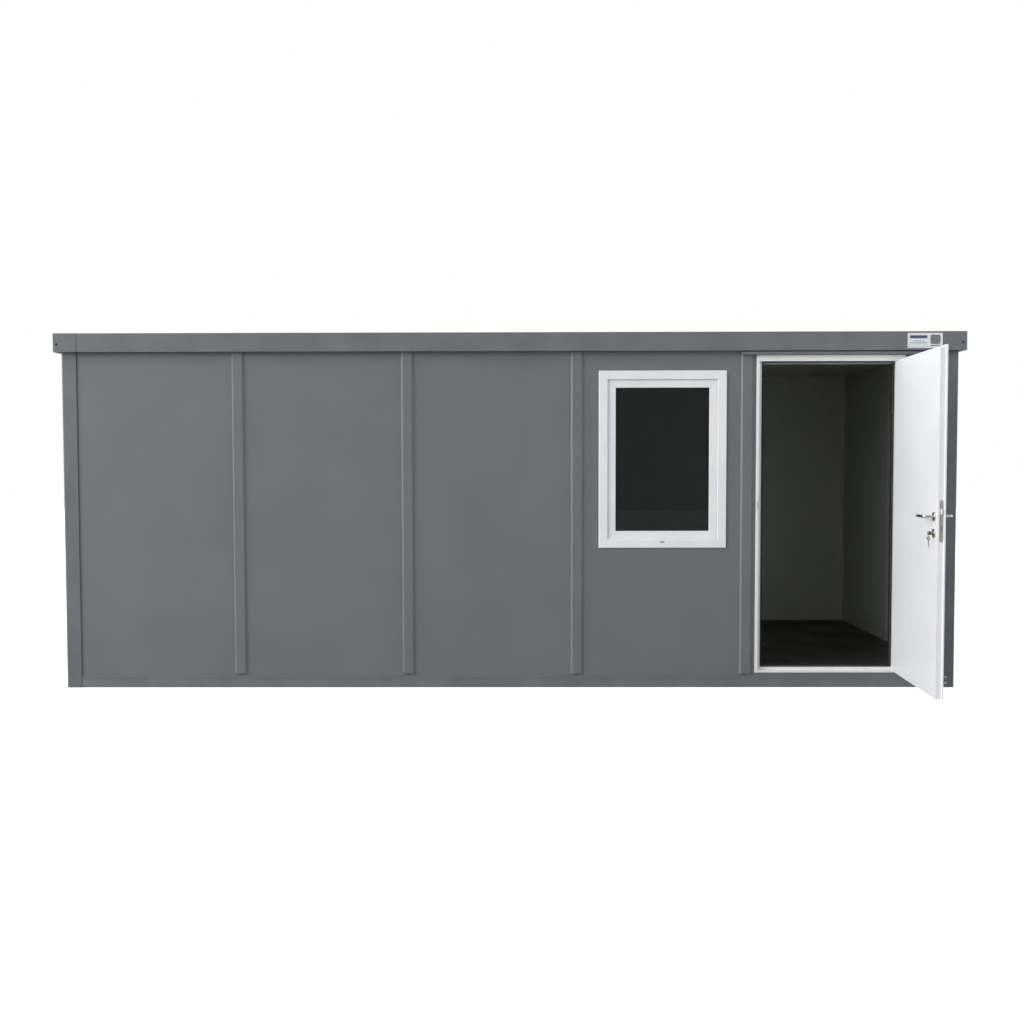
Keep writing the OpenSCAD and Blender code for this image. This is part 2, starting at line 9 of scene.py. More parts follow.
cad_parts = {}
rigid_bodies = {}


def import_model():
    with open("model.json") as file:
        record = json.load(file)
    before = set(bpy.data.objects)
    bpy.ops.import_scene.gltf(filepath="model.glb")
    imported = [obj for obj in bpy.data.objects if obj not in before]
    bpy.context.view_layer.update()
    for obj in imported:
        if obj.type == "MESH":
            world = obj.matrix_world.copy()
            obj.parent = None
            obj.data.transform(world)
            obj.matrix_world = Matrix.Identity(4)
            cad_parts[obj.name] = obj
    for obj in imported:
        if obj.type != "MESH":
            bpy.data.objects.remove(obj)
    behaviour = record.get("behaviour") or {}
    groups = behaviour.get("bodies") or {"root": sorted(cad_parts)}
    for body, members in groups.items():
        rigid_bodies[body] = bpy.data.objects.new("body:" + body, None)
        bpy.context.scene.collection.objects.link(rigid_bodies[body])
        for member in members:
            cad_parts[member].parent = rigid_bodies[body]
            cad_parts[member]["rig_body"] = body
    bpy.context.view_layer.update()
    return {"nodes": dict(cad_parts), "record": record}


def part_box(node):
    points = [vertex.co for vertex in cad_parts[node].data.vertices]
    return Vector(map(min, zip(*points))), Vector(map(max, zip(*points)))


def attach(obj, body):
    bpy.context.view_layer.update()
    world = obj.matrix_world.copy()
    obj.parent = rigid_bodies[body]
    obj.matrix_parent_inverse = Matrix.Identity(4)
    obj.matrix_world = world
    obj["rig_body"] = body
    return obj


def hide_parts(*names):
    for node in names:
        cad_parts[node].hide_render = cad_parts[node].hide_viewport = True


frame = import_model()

scene = bpy.context.scene
mm = 0.001


# The linear values of an sRGB hex colour.
def linear(code):
    parts = [int(code[i:i + 2], 16) / 255 for i in (1, 3, 5)]
    return [p / 12.92 if p <= 0.04045 else ((p + 0.055) / 1.055) ** 2.4 for p in parts] + [1]


# Adds a node with its settings; each input gets a value or a link.
def addNode(tree, kind, inputs=None, **settings):
    node = tree.nodes.new(kind)
    for name, value in settings.items():
        setattr(node, name, value)
    for key, value in (inputs or {}).items():
        if isinstance(value, bpy.types.NodeSocket):
            tree.links.new(value, node.inputs[key])
        else:
            node.inputs[key].default_value = value
    return node


def newMaterial(name, values):
    material = bpy.data.materials.new(name)
    material.use_nodes = True
    shader = material.node_tree.nodes["Principled BSDF"]
    for key, value in values.items():
        shader.inputs[key].default_value = value
    return material, material.node_tree, shader


# Mixes a look's two tones by one value and spreads its roughness by another, over a bump.
def feed(tree, shader, look, toneBy, glossBy, bump):
    tone = addNode(tree, "ShaderNodeMix", {
        "Factor": toneBy, 6: linear(look["tones"][0]), 7: linear(look["tones"][1])
    }, data_type="RGBA")
    gloss = addNode(tree, "ShaderNodeMapRange", {
        "Value": glossBy, "From Min": 0.3, "From Max": 0.7,
        "To Min": look["roughness"][0], "To Max": look["roughness"][1]
    })
    tree.links.new(tone.outputs[2], shader.inputs["Base Color"])
    tree.links.new(gloss.outputs["Result"], shader.inputs["Roughness"])
    tree.links.new(bump.outputs["Normal"], shader.inputs["Normal"])


# One shader on a kind of ray and the usual one on the rest.
def splitRays(tree, out, ray, usual, special):
    rays = addNode(tree, "ShaderNodeLightPath")
    both = addNode(tree, "ShaderNodeMixShader", {0: rays.outputs[ray], 1: usual, 2: special})
    tree.links.new(both.outputs["Shader"], out.inputs["Surface"])


# Paint on steel: slow cloudy changes of tone and gloss, orange peel, and the sheet's own long waves.
def paintedSteel(name, look):
    material, tree, shader = newMaterial(name, {"IOR": 1.5})
    here = addNode(tree, "ShaderNodeTexCoord").outputs["Object"]
    cloud = addNode(tree, "ShaderNodeTexNoise", {
        "Vector": here, "Scale": 1 / (look["cloud"] * mm), "Detail": 4
    })
    share = addNode(tree, "ShaderNodeMapRange", {
        "Value": cloud.outputs["Fac"], "From Min": 0.3, "From Max": 0.7
    })
    wave = addNode(tree, "ShaderNodeTexNoise", {
        "Vector": here, "Scale": 1 / (look["wave"][0] * mm), "Detail": 1
    })
    peel = addNode(tree, "ShaderNodeTexNoise", {
        "Vector": here, "Scale": 1 / (look["peel"][0] * mm), "Detail": 2
    })
    waved = addNode(tree, "ShaderNodeBump", {
        "Height": wave.outputs["Fac"], "Distance": look["wave"][1] * mm
    })
    peeled = addNode(tree, "ShaderNodeBump", {
        "Height": peel.outputs["Fac"], "Distance": look["peel"][1] * mm, "Normal": waved.outputs["Normal"]
    })
    feed(tree, shader, look, share.outputs["Result"], cloud.outputs["Fac"], peeled)
    return material


# Bare metal with fine lines from brushing or drawing along one axis.
def brushedMetal(name, look):
    material, tree, shader = newMaterial(name, {"Metallic": 1})
    here = addNode(tree, "ShaderNodeTexCoord").outputs["Object"]
    stretch = addNode(tree, "ShaderNodeMapping", {"Vector": here, "Scale": look.get("stretch", (1, 1, 1))})
    lines = addNode(tree, "ShaderNodeTexNoise", {
        "Vector": stretch.outputs["Vector"], "Scale": 1 / (look["line"] * mm), "Detail": 3
    })
    stain = addNode(tree, "ShaderNodeTexNoise", {
        "Vector": here, "Scale": 1 / (look["stain"] * mm), "Detail": 3
    })
    bump = addNode(tree, "ShaderNodeBump", {
        "Height": lines.outputs["Fac"], "Distance": look.get("depth", 0.02) * mm
    })
    feed(tree, shader, look, stain.outputs["Fac"], lines.outputs["Fac"], bump)
    return material


# Polyester coil coating on the sandwich panels: an even satin, with the skin's faint long waves.
coilCoat = paintedSteel("coilCoatedSteelSlateGrey", {
    "tones": ("#6d7075", "#717479"), "roughness": (0.44, 0.52), "cloud": 420, "wave": (380, 1.2),
    "peel": (3.5, 0.02)
})
# Sprayed alkyd enamel on the frame: a touch glossier and darker, with visible orange peel.
enamel = {"roughness": (0.36, 0.48), "cloud": 160, "wave": (240, 0.8), "peel": (2.5, 0.05)}
frameEnamel = paintedSteel("sprayedEnamelFrameGrey", {**enamel, "tones": ("#686b70", "#6e7176")})
# The same enamel on the floor frame, dulled and lightened by splashed dust.
baseEnamel = paintedSteel("dustyEnamelBaseGrey", {
    **enamel, "tones": ("#6d7075", "#75787c"), "roughness": (0.42, 0.56)
})
# The same enamel on the roof frame: its tone drifts more slowly along the long rails.
roofEnamel = paintedSteel("sprayedEnamelRoofGrey", {
    **enamel, "tones": ("#6a6d72", "#72757a"), "cloud": 200, "wave": (300, 1.0)
})
# Matt dark primer that only shows under the floor.
darkPrimer = paintedSteel("darkPrimerSteel", {
    "tones": ("#34363a", "#3f4145"), "roughness": (0.6, 0.75), "cloud": 90, "wave": (200, 0.5),
    "peel": (3, 0.08)
})
# Grey-white polyester coating inside: smooth and fairly glossy, so the doorway is mirrored softly in it.
liningCoat = paintedSteel("coilCoatedLiningGreyWhite", {
    "tones": ("#b9bdb5", "#c1c4bc"), "roughness": (0.3, 0.38), "cloud": 500, "wave": (350, 0.15),
    "peel": (3.5, 0.02)
})
# The lining's folded corner trims: a shade lighter and glossier, so the room's corners show.
trimCoat = paintedSteel("coilCoatedTrimWhite", {
    "tones": ("#bec1ba", "#c7cac2"), "roughness": (0.28, 0.36), "cloud": 120, "wave": (200, 0.4),
    "peel": (3, 0.02)
})
# White powder coat on the door leaf and frame: bright, semi-gloss and finely pebbled.
leafCoat = paintedSteel("powderCoatDoorWhite", {
    "tones": ("#ebebee", "#efeff2"), "roughness": (0.38, 0.46), "cloud": 300, "wave": (420, 0.12),
    "peel": (1.6, 0.04)
})
frameCoat = paintedSteel("powderCoatFrameWhite", {
    "tones": ("#ececeb", "#f1f1f0"), "roughness": (0.28, 0.38), "cloud": 110, "wave": (200, 0.4),
    "peel": (1.6, 0.04)
})
# Extruded uPVC of the window: clean white with a soft sheen.
windowPvc = paintedSteel("extrudedPvcWhite", {
    "tones": ("#ececee", "#f2f2f3"), "roughness": (0.3, 0.38), "cloud": 140, "wave": (160, 0.15),
    "peel": (5, 0.02)
})
# Brushed stainless steel: vertical lines on the lock's plates.
lockSteel = brushedMetal("brushedStainlessSteel", {
    "tones": ("#c6c7c1", "#d3d3cc"), "roughness": (0.28, 0.4), "line": 0.6, "stain": 30,
    "stretch": (1, 1, 0.04)
})
# Zinc-plated screws and pins: bright and a little blotchy.
zincPlate = brushedMetal("zincPlatedSteel", {
    "tones": ("#d8dadc", "#e8eaec"), "roughness": (0.4, 0.52), "line": 1.5, "stain": 6
})
# Plain milled steel of the drawn-in bolt: greyer than the plate round it.
boltSteel = brushedMetal("milledBoltSteel", {
    "tones": ("#a3a49e", "#b0b1ab"), "roughness": (0.35, 0.48), "line": 0.8, "stain": 8
})
# Cast zinc coloured nearly white, satin, without a metal's mirror: the near-white is a painted highlight,
# standing in for the bright reflection on the latch bolt.
boltPaintedHighlight = paintedSteel("castZincPaintedHighlight", {
    "tones": ("#ededea", "#f6f6f4"), "roughness": (0.3, 0.4), "cloud": 8, "wave": (20, 0.02),
    "peel": (1, 0.02)
})
# Turned and polished brass: warm, with fine lathe lines.
brass = brushedMetal("polishedBrass", {
    "tones": ("#b08d57", "#c2a066"), "roughness": (0.2, 0.3), "line": 0.8, "stretch": (1, 0.1, 1),
    "stain": 9, "depth": 0.01
})


# EPDM rubber: matt black with a dusty bloom.
def epdmRubber():
    material, tree, shader = newMaterial("epdmRubberBlack", {"Roughness": 0.75})
    here = addNode(tree, "ShaderNodeTexCoord").outputs["Object"]
    dust = addNode(tree, "ShaderNodeTexNoise", {"Vector": here, "Scale": 1 / (40 * mm), "Detail": 5})
    tone = addNode(tree, "ShaderNodeMix", {
        "Factor": dust.outputs["Fac"], 6: linear("#121212"), 7: linear("#1c1c1b")
    }, data_type="RGBA")
    grain = addNode(tree, "ShaderNodeTexNoise", {"Vector": here, "Scale": 1 / (1.2 * mm)})
    bump = addNode(tree, "ShaderNodeBump", {"Height": grain.outputs["Fac"], "Distance": 0.05 * mm})
    tree.links.new(tone.outputs[2], shader.inputs["Base Color"])
    tree.links.new(bump.outputs["Normal"], shader.inputs["Normal"])
    return material


# Sheet vinyl on the floor: dark brown, fine chips, trodden a little duller in patches.
def sheetVinyl():
    material, tree, shader = newMaterial("sheetVinylDarkBrown", {"IOR": 1.5})
    here = addNode(tree, "ShaderNodeTexCoord").outputs["Object"]
    chips = addNode(tree, "ShaderNodeTexVoronoi", {"Vector": here, "Scale": 1 / (9 * mm)})
    worn = addNode(tree, "ShaderNodeTexNoise", {"Vector": here, "Scale": 1 / (380 * mm), "Detail": 5})
    bump = addNode(tree, "ShaderNodeBump", {"Height": chips.outputs["Distance"], "Distance": 0.1 * mm})
    look = {"tones": ("#2c2824", "#38332e"), "roughness": (0.38, 0.6)}
    feed(tree, shader, look, chips.outputs["Distance"], worn.outputs["Fac"], bump)
    return material


# Hot-dip galvanised roof sheet: grey spangle, each crystal a slightly different grey and gloss.
def galvanisedSheet():
    material, tree, shader = newMaterial("galvanisedSheetSpangle", {"Metallic": 0.9})
    here = addNode(tree, "ShaderNodeTexCoord").outputs["Object"]
    spangle = addNode(tree, "ShaderNodeTexVoronoi", {"Vector": here, "Scale": 1 / (22 * mm)})
    crystal = addNode(tree, "ShaderNodeSeparateColor", {"Color": spangle.outputs["Color"]})
    dust = addNode(tree, "ShaderNodeTexNoise", {"Vector": here, "Scale": 1 / (500 * mm), "Detail": 5})
    metal = addNode(tree, "ShaderNodeMix", {
        "Factor": crystal.outputs["Red"], 6: linear("#9a9da0"), 7: linear("#b3b6b8")
    }, data_type="RGBA")
    tone = addNode(tree, "ShaderNodeMix", {
        "Factor": dust.outputs["Fac"], 6: metal.outputs[2], 7: linear("#8e9092")
    }, data_type="RGBA")
    gloss = addNode(tree, "ShaderNodeMapRange", {
        "Value": crystal.outputs["Green"], "To Min": 0.34, "To Max": 0.52
    })
    bump = addNode(tree, "ShaderNodeBump", {"Height": dust.outputs["Fac"], "Distance": 1.5 * mm})
    tree.links.new(tone.outputs[2], shader.inputs["Base Color"])
    tree.links.new(gloss.outputs["Result"], shader.inputs["Roughness"])
    tree.links.new(bump.outputs["Normal"], shader.inputs["Normal"])
    return material


# Double glazing in grey-green float glass; lamp light passes, so the room isn't black behind it.
def floatGlass():
    material, tree, shader = newMaterial("floatGlassGreyGreen", {
        "Base Color": linear("#9aa69f"), "Roughness": 0.0, "IOR": 1.5, "Transmission Weight": 1.0
    })
    clear = addNode(tree, "ShaderNodeBsdfTransparent", {"Color": linear("#9aa69f")})
    out = tree.nodes["Material Output"]
    splitRays(tree, out, "Is Shadow Ray", shader.outputs["BSDF"], clear.outputs["BSDF"])
    return material


# White stove enamel on the plate's aluminium sheet: smooth and slightly glossy.
signSheet = paintedSteel("whiteEnamelOnAluminium", {
    "tones": ("#e4e7ea", "#eceef0"), "roughness": (0.28, 0.36), "cloud": 60, "wave": (80, 0.05),
    "peel": (2, 0.01)
})
# Grey silicone in the window's joints: between the white uPVC and the grey wall in tone.
sealGrey = paintedSteel("siliconeSealGrey", {
    "tones": ("#a4a5a6", "#adaeaf"), "roughness": (0.5, 0.62), "cloud": 60, "wave": (90, 0.3),
    "peel": (6, 0.05)
})
# Nickel-plated key and ring coloured dark brown: the brown is a painted reflection of dark surroundings in
# the metal.
keyNickel = brushedMetal("nickelPaintedDarkReflection", {
    "tones": ("#6b5a48", "#8c7b68"), "roughness": (0.3, 0.45), "line": 0.8, "stretch": (1, 1, 0.2), "stain": 5
})
# Rolled key brass with a pinkish tone, coloured nearly white: the whiteness is a painted highlight.
keyBrass = brushedMetal("keyBrassPaintedHighlight", {
    "tones": ("#dccabc", "#ece0d6"), "roughness": (0.26, 0.36), "line": 0.8, "stain": 6,
    "stretch": (1, 1, 0.2)
})
# Screen-printed ink on the plate: flat, slightly uneven in its cover.
ink = {"roughness": (0.5, 0.6), "cloud": 12, "wave": (60, 0.05), "peel": (2, 0.01)}
signInk = paintedSteel("screenInkSlateBlue", {**ink, "tones": ("#42536f", "#4d5f7c")})
signGrey = paintedSteel("screenInkGrey", {**ink, "tones": ("#70757d", "#7b8088")})
rubber = epdmRubber()
vinyl = sheetVinyl()
zincSheet = galvanisedSheet()
glass = floatGlass()
print("materials made")


# Shapes in mesh code.
def at(x, y, z):
    return Matrix.Translation((x, y, z))


def moved(shape, place):
    bmesh.ops.transform(shape, matrix=place, verts=shape.verts)
    return shape


def joined(shapes):
    whole = bmesh.new()
    for shape in shapes:
        part = bpy.data.meshes.new("part")
        shape.to_mesh(part)
        shape.free()
        whole.from_mesh(part)
        bpy.data.meshes.remove(part)
    return whole


# A closed skin over rings of points; a loop joins its last ring to its first.
def skin(rings, loop=False):
    shape = bmesh.new()
    rows = [[shape.verts.new(point) for point in ring] for ring in rings]
    pairs = list(zip(rows, rows[1:]))
    if loop:
        pairs.append((rows[-1], rows[0]))
    for low, high in pairs:
        for i in range(len(low)):
            j = (i + 1) % len(low)
            shape.faces.new((low[i], low[j], high[j], high[i]))
    if not loop:
        shape.faces.new(rows[0])
        shape.faces.new(rows[-1])
    bmesh.ops.recalc_face_normals(shape, faces=shape.faces)
    return shape


# A flat outline in X and Y, made solid along Z.
def solid(outline, depth):
    return skin([[Vector((x, y, z)) for x, y in outline] for z in (0, depth)])


# Even steps round a circle, in radians.
def around(steps):
    return [2 * math.pi * i / steps for i in range(steps)]


# A profile of (radius, height) turned round Z.
def turned(profile, steps=40, loop=False):
    rings = [[Vector((r * math.cos(a), r * math.sin(a), h)) for a in around(steps)] for r, h in profile]
    return skin(rings, loop)


# A rectangle in X and Y with round corners.
def roundedOutline(width, height, radius, steps=6):
    points = []
    for k, (sx, sy) in enumerate([(1, 1), (-1, 1), (-1, -1), (1, -1)]):
        for i in range(steps + 1):
            a = math.radians(90 * (k + i / steps))
            points.append((sx * (width / 2 - radius) + radius * math.cos(a),
                           sy * (height / 2 - radius) + radius * math.sin(a)))
    return points


# Four mitred bars round an upright rectangle; the outline is (inset from the edge, place along Y).
def mitredBars(low, high, outline, seam=0.15 * mm):
    x0, z0 = low
    x1, z1 = high
    corners = [(x0, z0, 1, 1), (x1, z0, -1, 1), (x1, z1, -1, -1), (x0, z1, 1, -1)]
    bars = []
    for k in range(4):
        ax, az, sx, sz = corners[k]
        bx, bz, tx, tz = corners[(k + 1) % 4]
        along = Vector((bx - ax, 0, bz - az)).normalized() * seam
        first = [Vector((ax + sx * inset, y, az + sz * inset)) + along for inset, y in outline]
        last = [Vector((bx + tx * inset, y, bz + tz * inset)) - along for inset, y in outline]
        bars.append(skin([first, last]))
    return joined(bars)


# A bent rod in X and Y with an oval section; each point has its own half height and half depth.
def sweptRod(path, halves, steps=24):
    rings = []
    for i, centre in enumerate(path):
        along = (path[min(len(path) - 1, i + 1)] - path[max(0, i - 1)]).normalized()
        across = along.cross(Vector((0, 0, 1)))
        tall, deep = halves[i]
        rings.append([centre + across * deep * math.cos(a) + Vector((0, 0, tall * math.sin(a)))
                      for a in around(steps)])
    return skin(rings)


# Stands a shape up: what was along Z then looks along the given way.
def turnedTo(way, shape, place):
    turn = Vector(way).to_track_quat("Z", "Y").to_matrix().to_4x4()
    return moved(shape, Matrix.Translation(place) @ turn)


# A new piece that rides on a body, takes the given materials and may stand for CAD nodes.
def addPiece(name, mesh, materials, body, stands=()):
    piece = bpy.data.objects.new(name, mesh)
    scene.collection.objects.link(piece)
    for material in materials:
        mesh.materials.append(material)
    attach(piece, body)
    if stands:
        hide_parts(*stands)
    return piece


# Small radii on every edge that turns by more than 30 degrees, with the big faces kept flat.
def softenEdges(piece, width):
    piece.data.shade_smooth()
    bevel = piece.modifiers.new("softEdges", "BEVEL")
    bevel.width = width
    bevel.segments = 2
    bevel.limit_method = "ANGLE"
    bevel.angle_limit = math.radians(30)
    even = piece.modifiers.new("evenFaces", "WEIGHTED_NORMAL")
    even.mode = "FACE_AREA"
    even.weight = 90
    return piece


# edge: the edges' radius in mm, smooth: the angle up to which faces are one smooth curve.
def addShape(name, shape, material, body, stands=(), edge=0, smooth=0):
    mesh = bpy.data.meshes.new(name)
    shape.to_mesh(mesh)
    shape.free()
    piece = addPiece(name, mesh, [material], body, stands)
    if smooth:
        mesh.shade_smooth()
        mesh.set_sharp_from_angle(angle=math.radians(smooth))
    return softenEdges(piece, edge * mm) if edge else piece


# A CAD node's shape as whole welded faces.
def wholeShape(node):
    shape = bmesh.new()
    shape.from_mesh(frame["nodes"][node].data)
    bmesh.ops.remove_doubles(shape, verts=shape.verts, dist=0.01 * mm)
    bmesh.ops.dissolve_limit(shape, angle_limit=math.radians(0.5), verts=shape.verts, edges=shape.edges)
    return shape


# The node's own shape with folded or sprayed edges in place of sharp ones.
def finishNode(node, material, edge):
    body = frame["nodes"][node]["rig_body"]
    return addShape(node + "_finished", wholeShape(node), material, body, [node], edge)


# A new Geometry Nodes tree and the sockets that give its inputs' values.
def newTree(name, inputs):
    tree = bpy.data.node_groups.new(name, "GeometryNodeTree")
    for socket, kind in inputs.items():
        tree.interface.new_socket(socket, in_out="INPUT", socket_type="NodeSocket" + kind)
    tree.interface.new_socket("Shape", in_out="OUTPUT", socket_type="NodeSocketGeometry")
    return tree, addNode(tree, "NodeGroupInput").outputs


# Ends a tree with a plain mesh in the given coat.
def endTree(tree, shape, coat):
    plain = addNode(tree, "GeometryNodeRealizeInstances", {"Geometry": shape})
    coated = addNode(tree, "GeometryNodeSetMaterial", {
        "Geometry": plain.outputs["Geometry"], "Material": coat
    })
    addNode(tree, "NodeGroupOutput", {"Shape": coated.outputs["Geometry"]})
    return tree


fastenerSizes = ("head", "top", "rise", "washer", "washerRise")


# Geometry Nodes: a head on a washer at each point, along the way that the point faces.
def fastenerTree():
    sizes = {size: "Float" for size in fastenerSizes}
    tree, given = newTree("fasteners", {"Points": "Geometry", **sizes, "Sides": "Int", "Metal": "Material"})
    washer = addNode(tree, "GeometryNodeMeshCone", {
        "Vertices": 20, "Radius Top": given["washer"], "Radius Bottom": given["washer"],
        "Depth": given["washerRise"]
    })
    head = addNode(tree, "GeometryNodeMeshCone", {
        "Vertices": given["Sides"], "Radius Top": given["top"], "Radius Bottom": given["head"],
        "Depth": given["rise"]
    })
    rise = addNode(tree, "ShaderNodeCombineXYZ", {"Z": given["washerRise"]})
    raised = addNode(tree, "GeometryNodeTransform", {
        "Geometry": head.outputs["Mesh"], "Translation": rise.outputs["Vector"]
    })
    both = addNode(tree, "GeometryNodeJoinGeometry", {"Geometry": washer.outputs["Mesh"]})
    tree.links.new(raised.outputs["Geometry"], both.inputs["Geometry"])
    facing = addNode(tree, "GeometryNodeInputNamedAttribute", {"Name": "facing"}, data_type="FLOAT_VECTOR")
    turn = addNode(tree, "FunctionNodeAlignRotationToVector", {
        "Vector": facing.outputs["Attribute"]
    }, axis="Z")
    placed = addNode(tree, "GeometryNodeInstanceOnPoints", {
        "Points": given["Points"], "Instance": both.outputs["Geometry"], "Rotation": turn.outputs["Rotation"]
    })
    return endTree(tree, placed.outputs["Instances"], given["Metal"])


# Geometry Nodes: a round cord along every line of the carrier.
def cordTree():
    tree, given = newTree("sealCords", {
        "Lines": "Geometry", "Radius": "Float", "Sides": "Int", "Rubber": "Material"
    })
    along = addNode(tree, "GeometryNodeMeshToCurve", {"Mesh": given["Lines"]})
    section = addNode(tree, "GeometryNodeCurvePrimitiveCircle", {
        "Resolution": given["Sides"], "Radius": given["Radius"]
    })
    cords = addNode(tree, "GeometryNodeCurveToMesh", {
        "Curve": along.outputs["Curve"], "Profile Curve": section.outputs["Curve"]
    })
    return endTree(tree, cords.outputs["Mesh"], given["Rubber"])


# Runs a tree on a carrier mesh; the result is a plain closed mesh and the modifier is gone.
def grown(tree, carrier, values, name, smooth=40):
    holder = bpy.data.objects.new("carrier", carrier)
    scene.collection.objects.link(holder)
    live = holder.modifiers.new("grower", "NODES")
    live.node_group = tree
    sockets = {item.name: item.identifier for item in tree.interface.items_tree if item.in_out == "INPUT"}
    for key, value in values.items():
        live[sockets[key]] = value
    bpy.context.view_layer.update()
    mesh = bpy.data.meshes.new_from_object(holder.evaluated_get(bpy.context.evaluated_depsgraph_get()))
    holder.modifiers.remove(live)
    bpy.data.objects.remove(holder)
    shape = bmesh.new()
    shape.from_mesh(mesh)
    bmesh.ops.recalc_face_normals(shape, faces=shape.faces)
    shape.to_mesh(mesh)
    shape.free()
    mesh.name = name
    mesh.shade_smooth()
    mesh.set_sharp_from_angle(angle=math.radians(smooth))
    return mesh


fasteners = fastenerTree()
sealCords = cordTree()


# One set of screws, rivets or bolts; each place is (point, way it faces).
def addFasteners(name, places, look, metal, body):
    carrier = bpy.data.meshes.new("points")
    carrier.from_pydata([point for point, way in places], [], [])
    ways = carrier.attributes.new("facing", "FLOAT_VECTOR", "POINT")
    for i, (point, way) in enumerate(places):
        ways.data[i].vector = way
    sizes = {size: look[size] * mm for size in fastenerSizes}
    mesh = grown(fasteners, carrier, {**sizes, "Sides": look["sides"], "Metal": metal}, name, 25)
    return addPiece(name, mesh, [], body)


# Cords of one thickness along closed lines.
def addCords(name, lines, radius, rubberKind, body):
    points = []
    edges = []
    for line in lines:
        start = len(points)
        points += line
        edges += [(start + i, start + (i + 1) % len(line)) for i in range(len(line))]
    carrier = bpy.data.meshes.new("lines")
    carrier.from_pydata(points, edges, [])
    mesh = grown(sealCords, carrier, {"Radius": radius * mm, "Sides": 10, "Rubber": rubberKind}, name)
    return addPiece(name, mesh, [], body)


# A closed line round an upright rectangle with round corners.
def uprightLoop(x0, x1, z0, z1, y, radius):
    outline = roundedOutline(x1 - x0, z1 - z0, radius)
    return [Vector(((x0 + x1) / 2 + x, y, (z0 + z1) / 2 + z)) for x, z in outline]


print("helpers ready")

# The posts and base blocks read as one run of steel, so their edges stay tight.
steelFrame = (
    (("base_front_rail", "base_back_rail", "base_side_rails"), baseEnamel, "frame_steel", 1.2),
    (("corner_posts", "base_corners"), frameEnamel, "frame_steel", 0.3),
    (("roof_front_rail", "roof_back_rail", "roof_side_rails", "roof_corners"), roofEnamel, "roof_steel", 1.5),
)
for nodes, coat, slot, edge in steelFrame:
    for node in nodes:
        finishNode(node, coat, edge)
finishNode("floor_joists", darkPrimer, 0)
finishNode("door_threshold", frameEnamel, 1)
finishNode("roof_sheet", zincSheet, 0)

# Two zinc bolts through each right-hand base block, front and back.
baseBolts = {"head": 6.5, "top": 6, "rise": 4, "washer": 8.5, "washerRise": 1.5, "sides": 6, "in": 58,
             "heights": (30, 69)}
blockLow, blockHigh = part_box("base_corners")
places = []
for y, way in ((blockLow.y, (0, -1, 0)), (blockHigh.y, (0, 1, 0))):
    for height in baseBolts["heights"]:
        places.append((Vector((blockHigh.x - baseBolts["in"] * mm, y, height * mm)), way))
addFasteners("baseBolts", places, baseBolts, zincPlate, "cabin")

# Hexagon screws hold the roof sheet along its edges, in the valleys between the ribs.
sheetScrews = {"head": 5, "top": 4.6, "rise": 5, "washer": 9, "washerRise": 2, "sides": 6, "pitch": 250,
               "in": 13, "thick": 3, "endPitch": 380}
sheetLow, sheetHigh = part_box("roof_sheet")
sheetTop = sheetLow.z + sheetScrews["thick"] * mm
edgeIn = sheetScrews["in"] * mm
valleys = int((sheetHigh.x - sheetLow.x) / (sheetScrews["pitch"] * mm)) + 1
places = []
for i in range(valleys):
    x = (i - (valleys - 1) / 2) * sheetScrews["pitch"] * mm
    for y in (sheetLow.y + edgeIn, sheetHigh.y - edgeIn):
        places.append((Vector((x, y, sheetTop)), (0, 0, 1)))
for i in range(-2, 3):
    for x in (sheetLow.x + edgeIn, sheetHigh.x - edgeIn):
        places.append((Vector((x, i * sheetScrews["endPitch"] * mm, sheetTop)), (0, 0, 1)))
addFasteners("roofSheetScrews", places, sheetScrews, zincPlate, "cabin")
print("frame finished")

wallPanels = {
    "nodes": ("front_panel_1", "front_panel_2", "front_panel_3", "window_panel", "door_panel_left",
              "door_panel_right", "door_panel_top", "back_panels", "left_panels", "right_panels"),
    "edge": 0.8,
}


# A sandwich panel: grey skin outside, pale lining on the face towards the room.
def finishPanel(node):
    piece = finishNode(node, coilCoat, wallPanels["edge"])
    piece.data.materials.append(liningCoat)
    across = 0 if node in ("left_panels", "right_panels") else 1
    for face in piece.data.polygons:
        if abs(face.normal[across]) > 0.9 and face.normal[across] * face.center[across] < 0:
            face.material_index = 1


for node in wallPanels["nodes"]:
    finishPanel(node)
for node in ("front_strips", "back_strips", "side_strips"):
    finishNode(node, coilCoat, 1)
finishNode("door_drip_rail", coilCoat, 2)
finishNode("inner_trims", trimCoat, 0.6)
finishNode("ceiling_panel", liningCoat, 0)
finishNode("floor_deck", vinyl, 0)

# Painted rivets along the drip rail's face.
dripRivets = {"head": 4, "top": 2.4, "rise": 1.6, "washer": 4.6, "washerRise": 0.4, "sides": 20, "count": 5,
              "in": 90}
railLow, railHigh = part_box("door_drip_rail")
railSpan = railHigh.x - railLow.x - 2 * dripRivets["in"] * mm
places = [(Vector((railLow.x + dripRivets["in"] * mm + railSpan * i / (dripRivets["count"] - 1), railLow.y,
                   (railLow.z + railHigh.z) / 2)), (0, -1, 0)) for i in range(dripRivets["count"])]
addFasteners("dripRailRivets", places, dripRivets, coilCoat, "cabin")
print("walls finished")

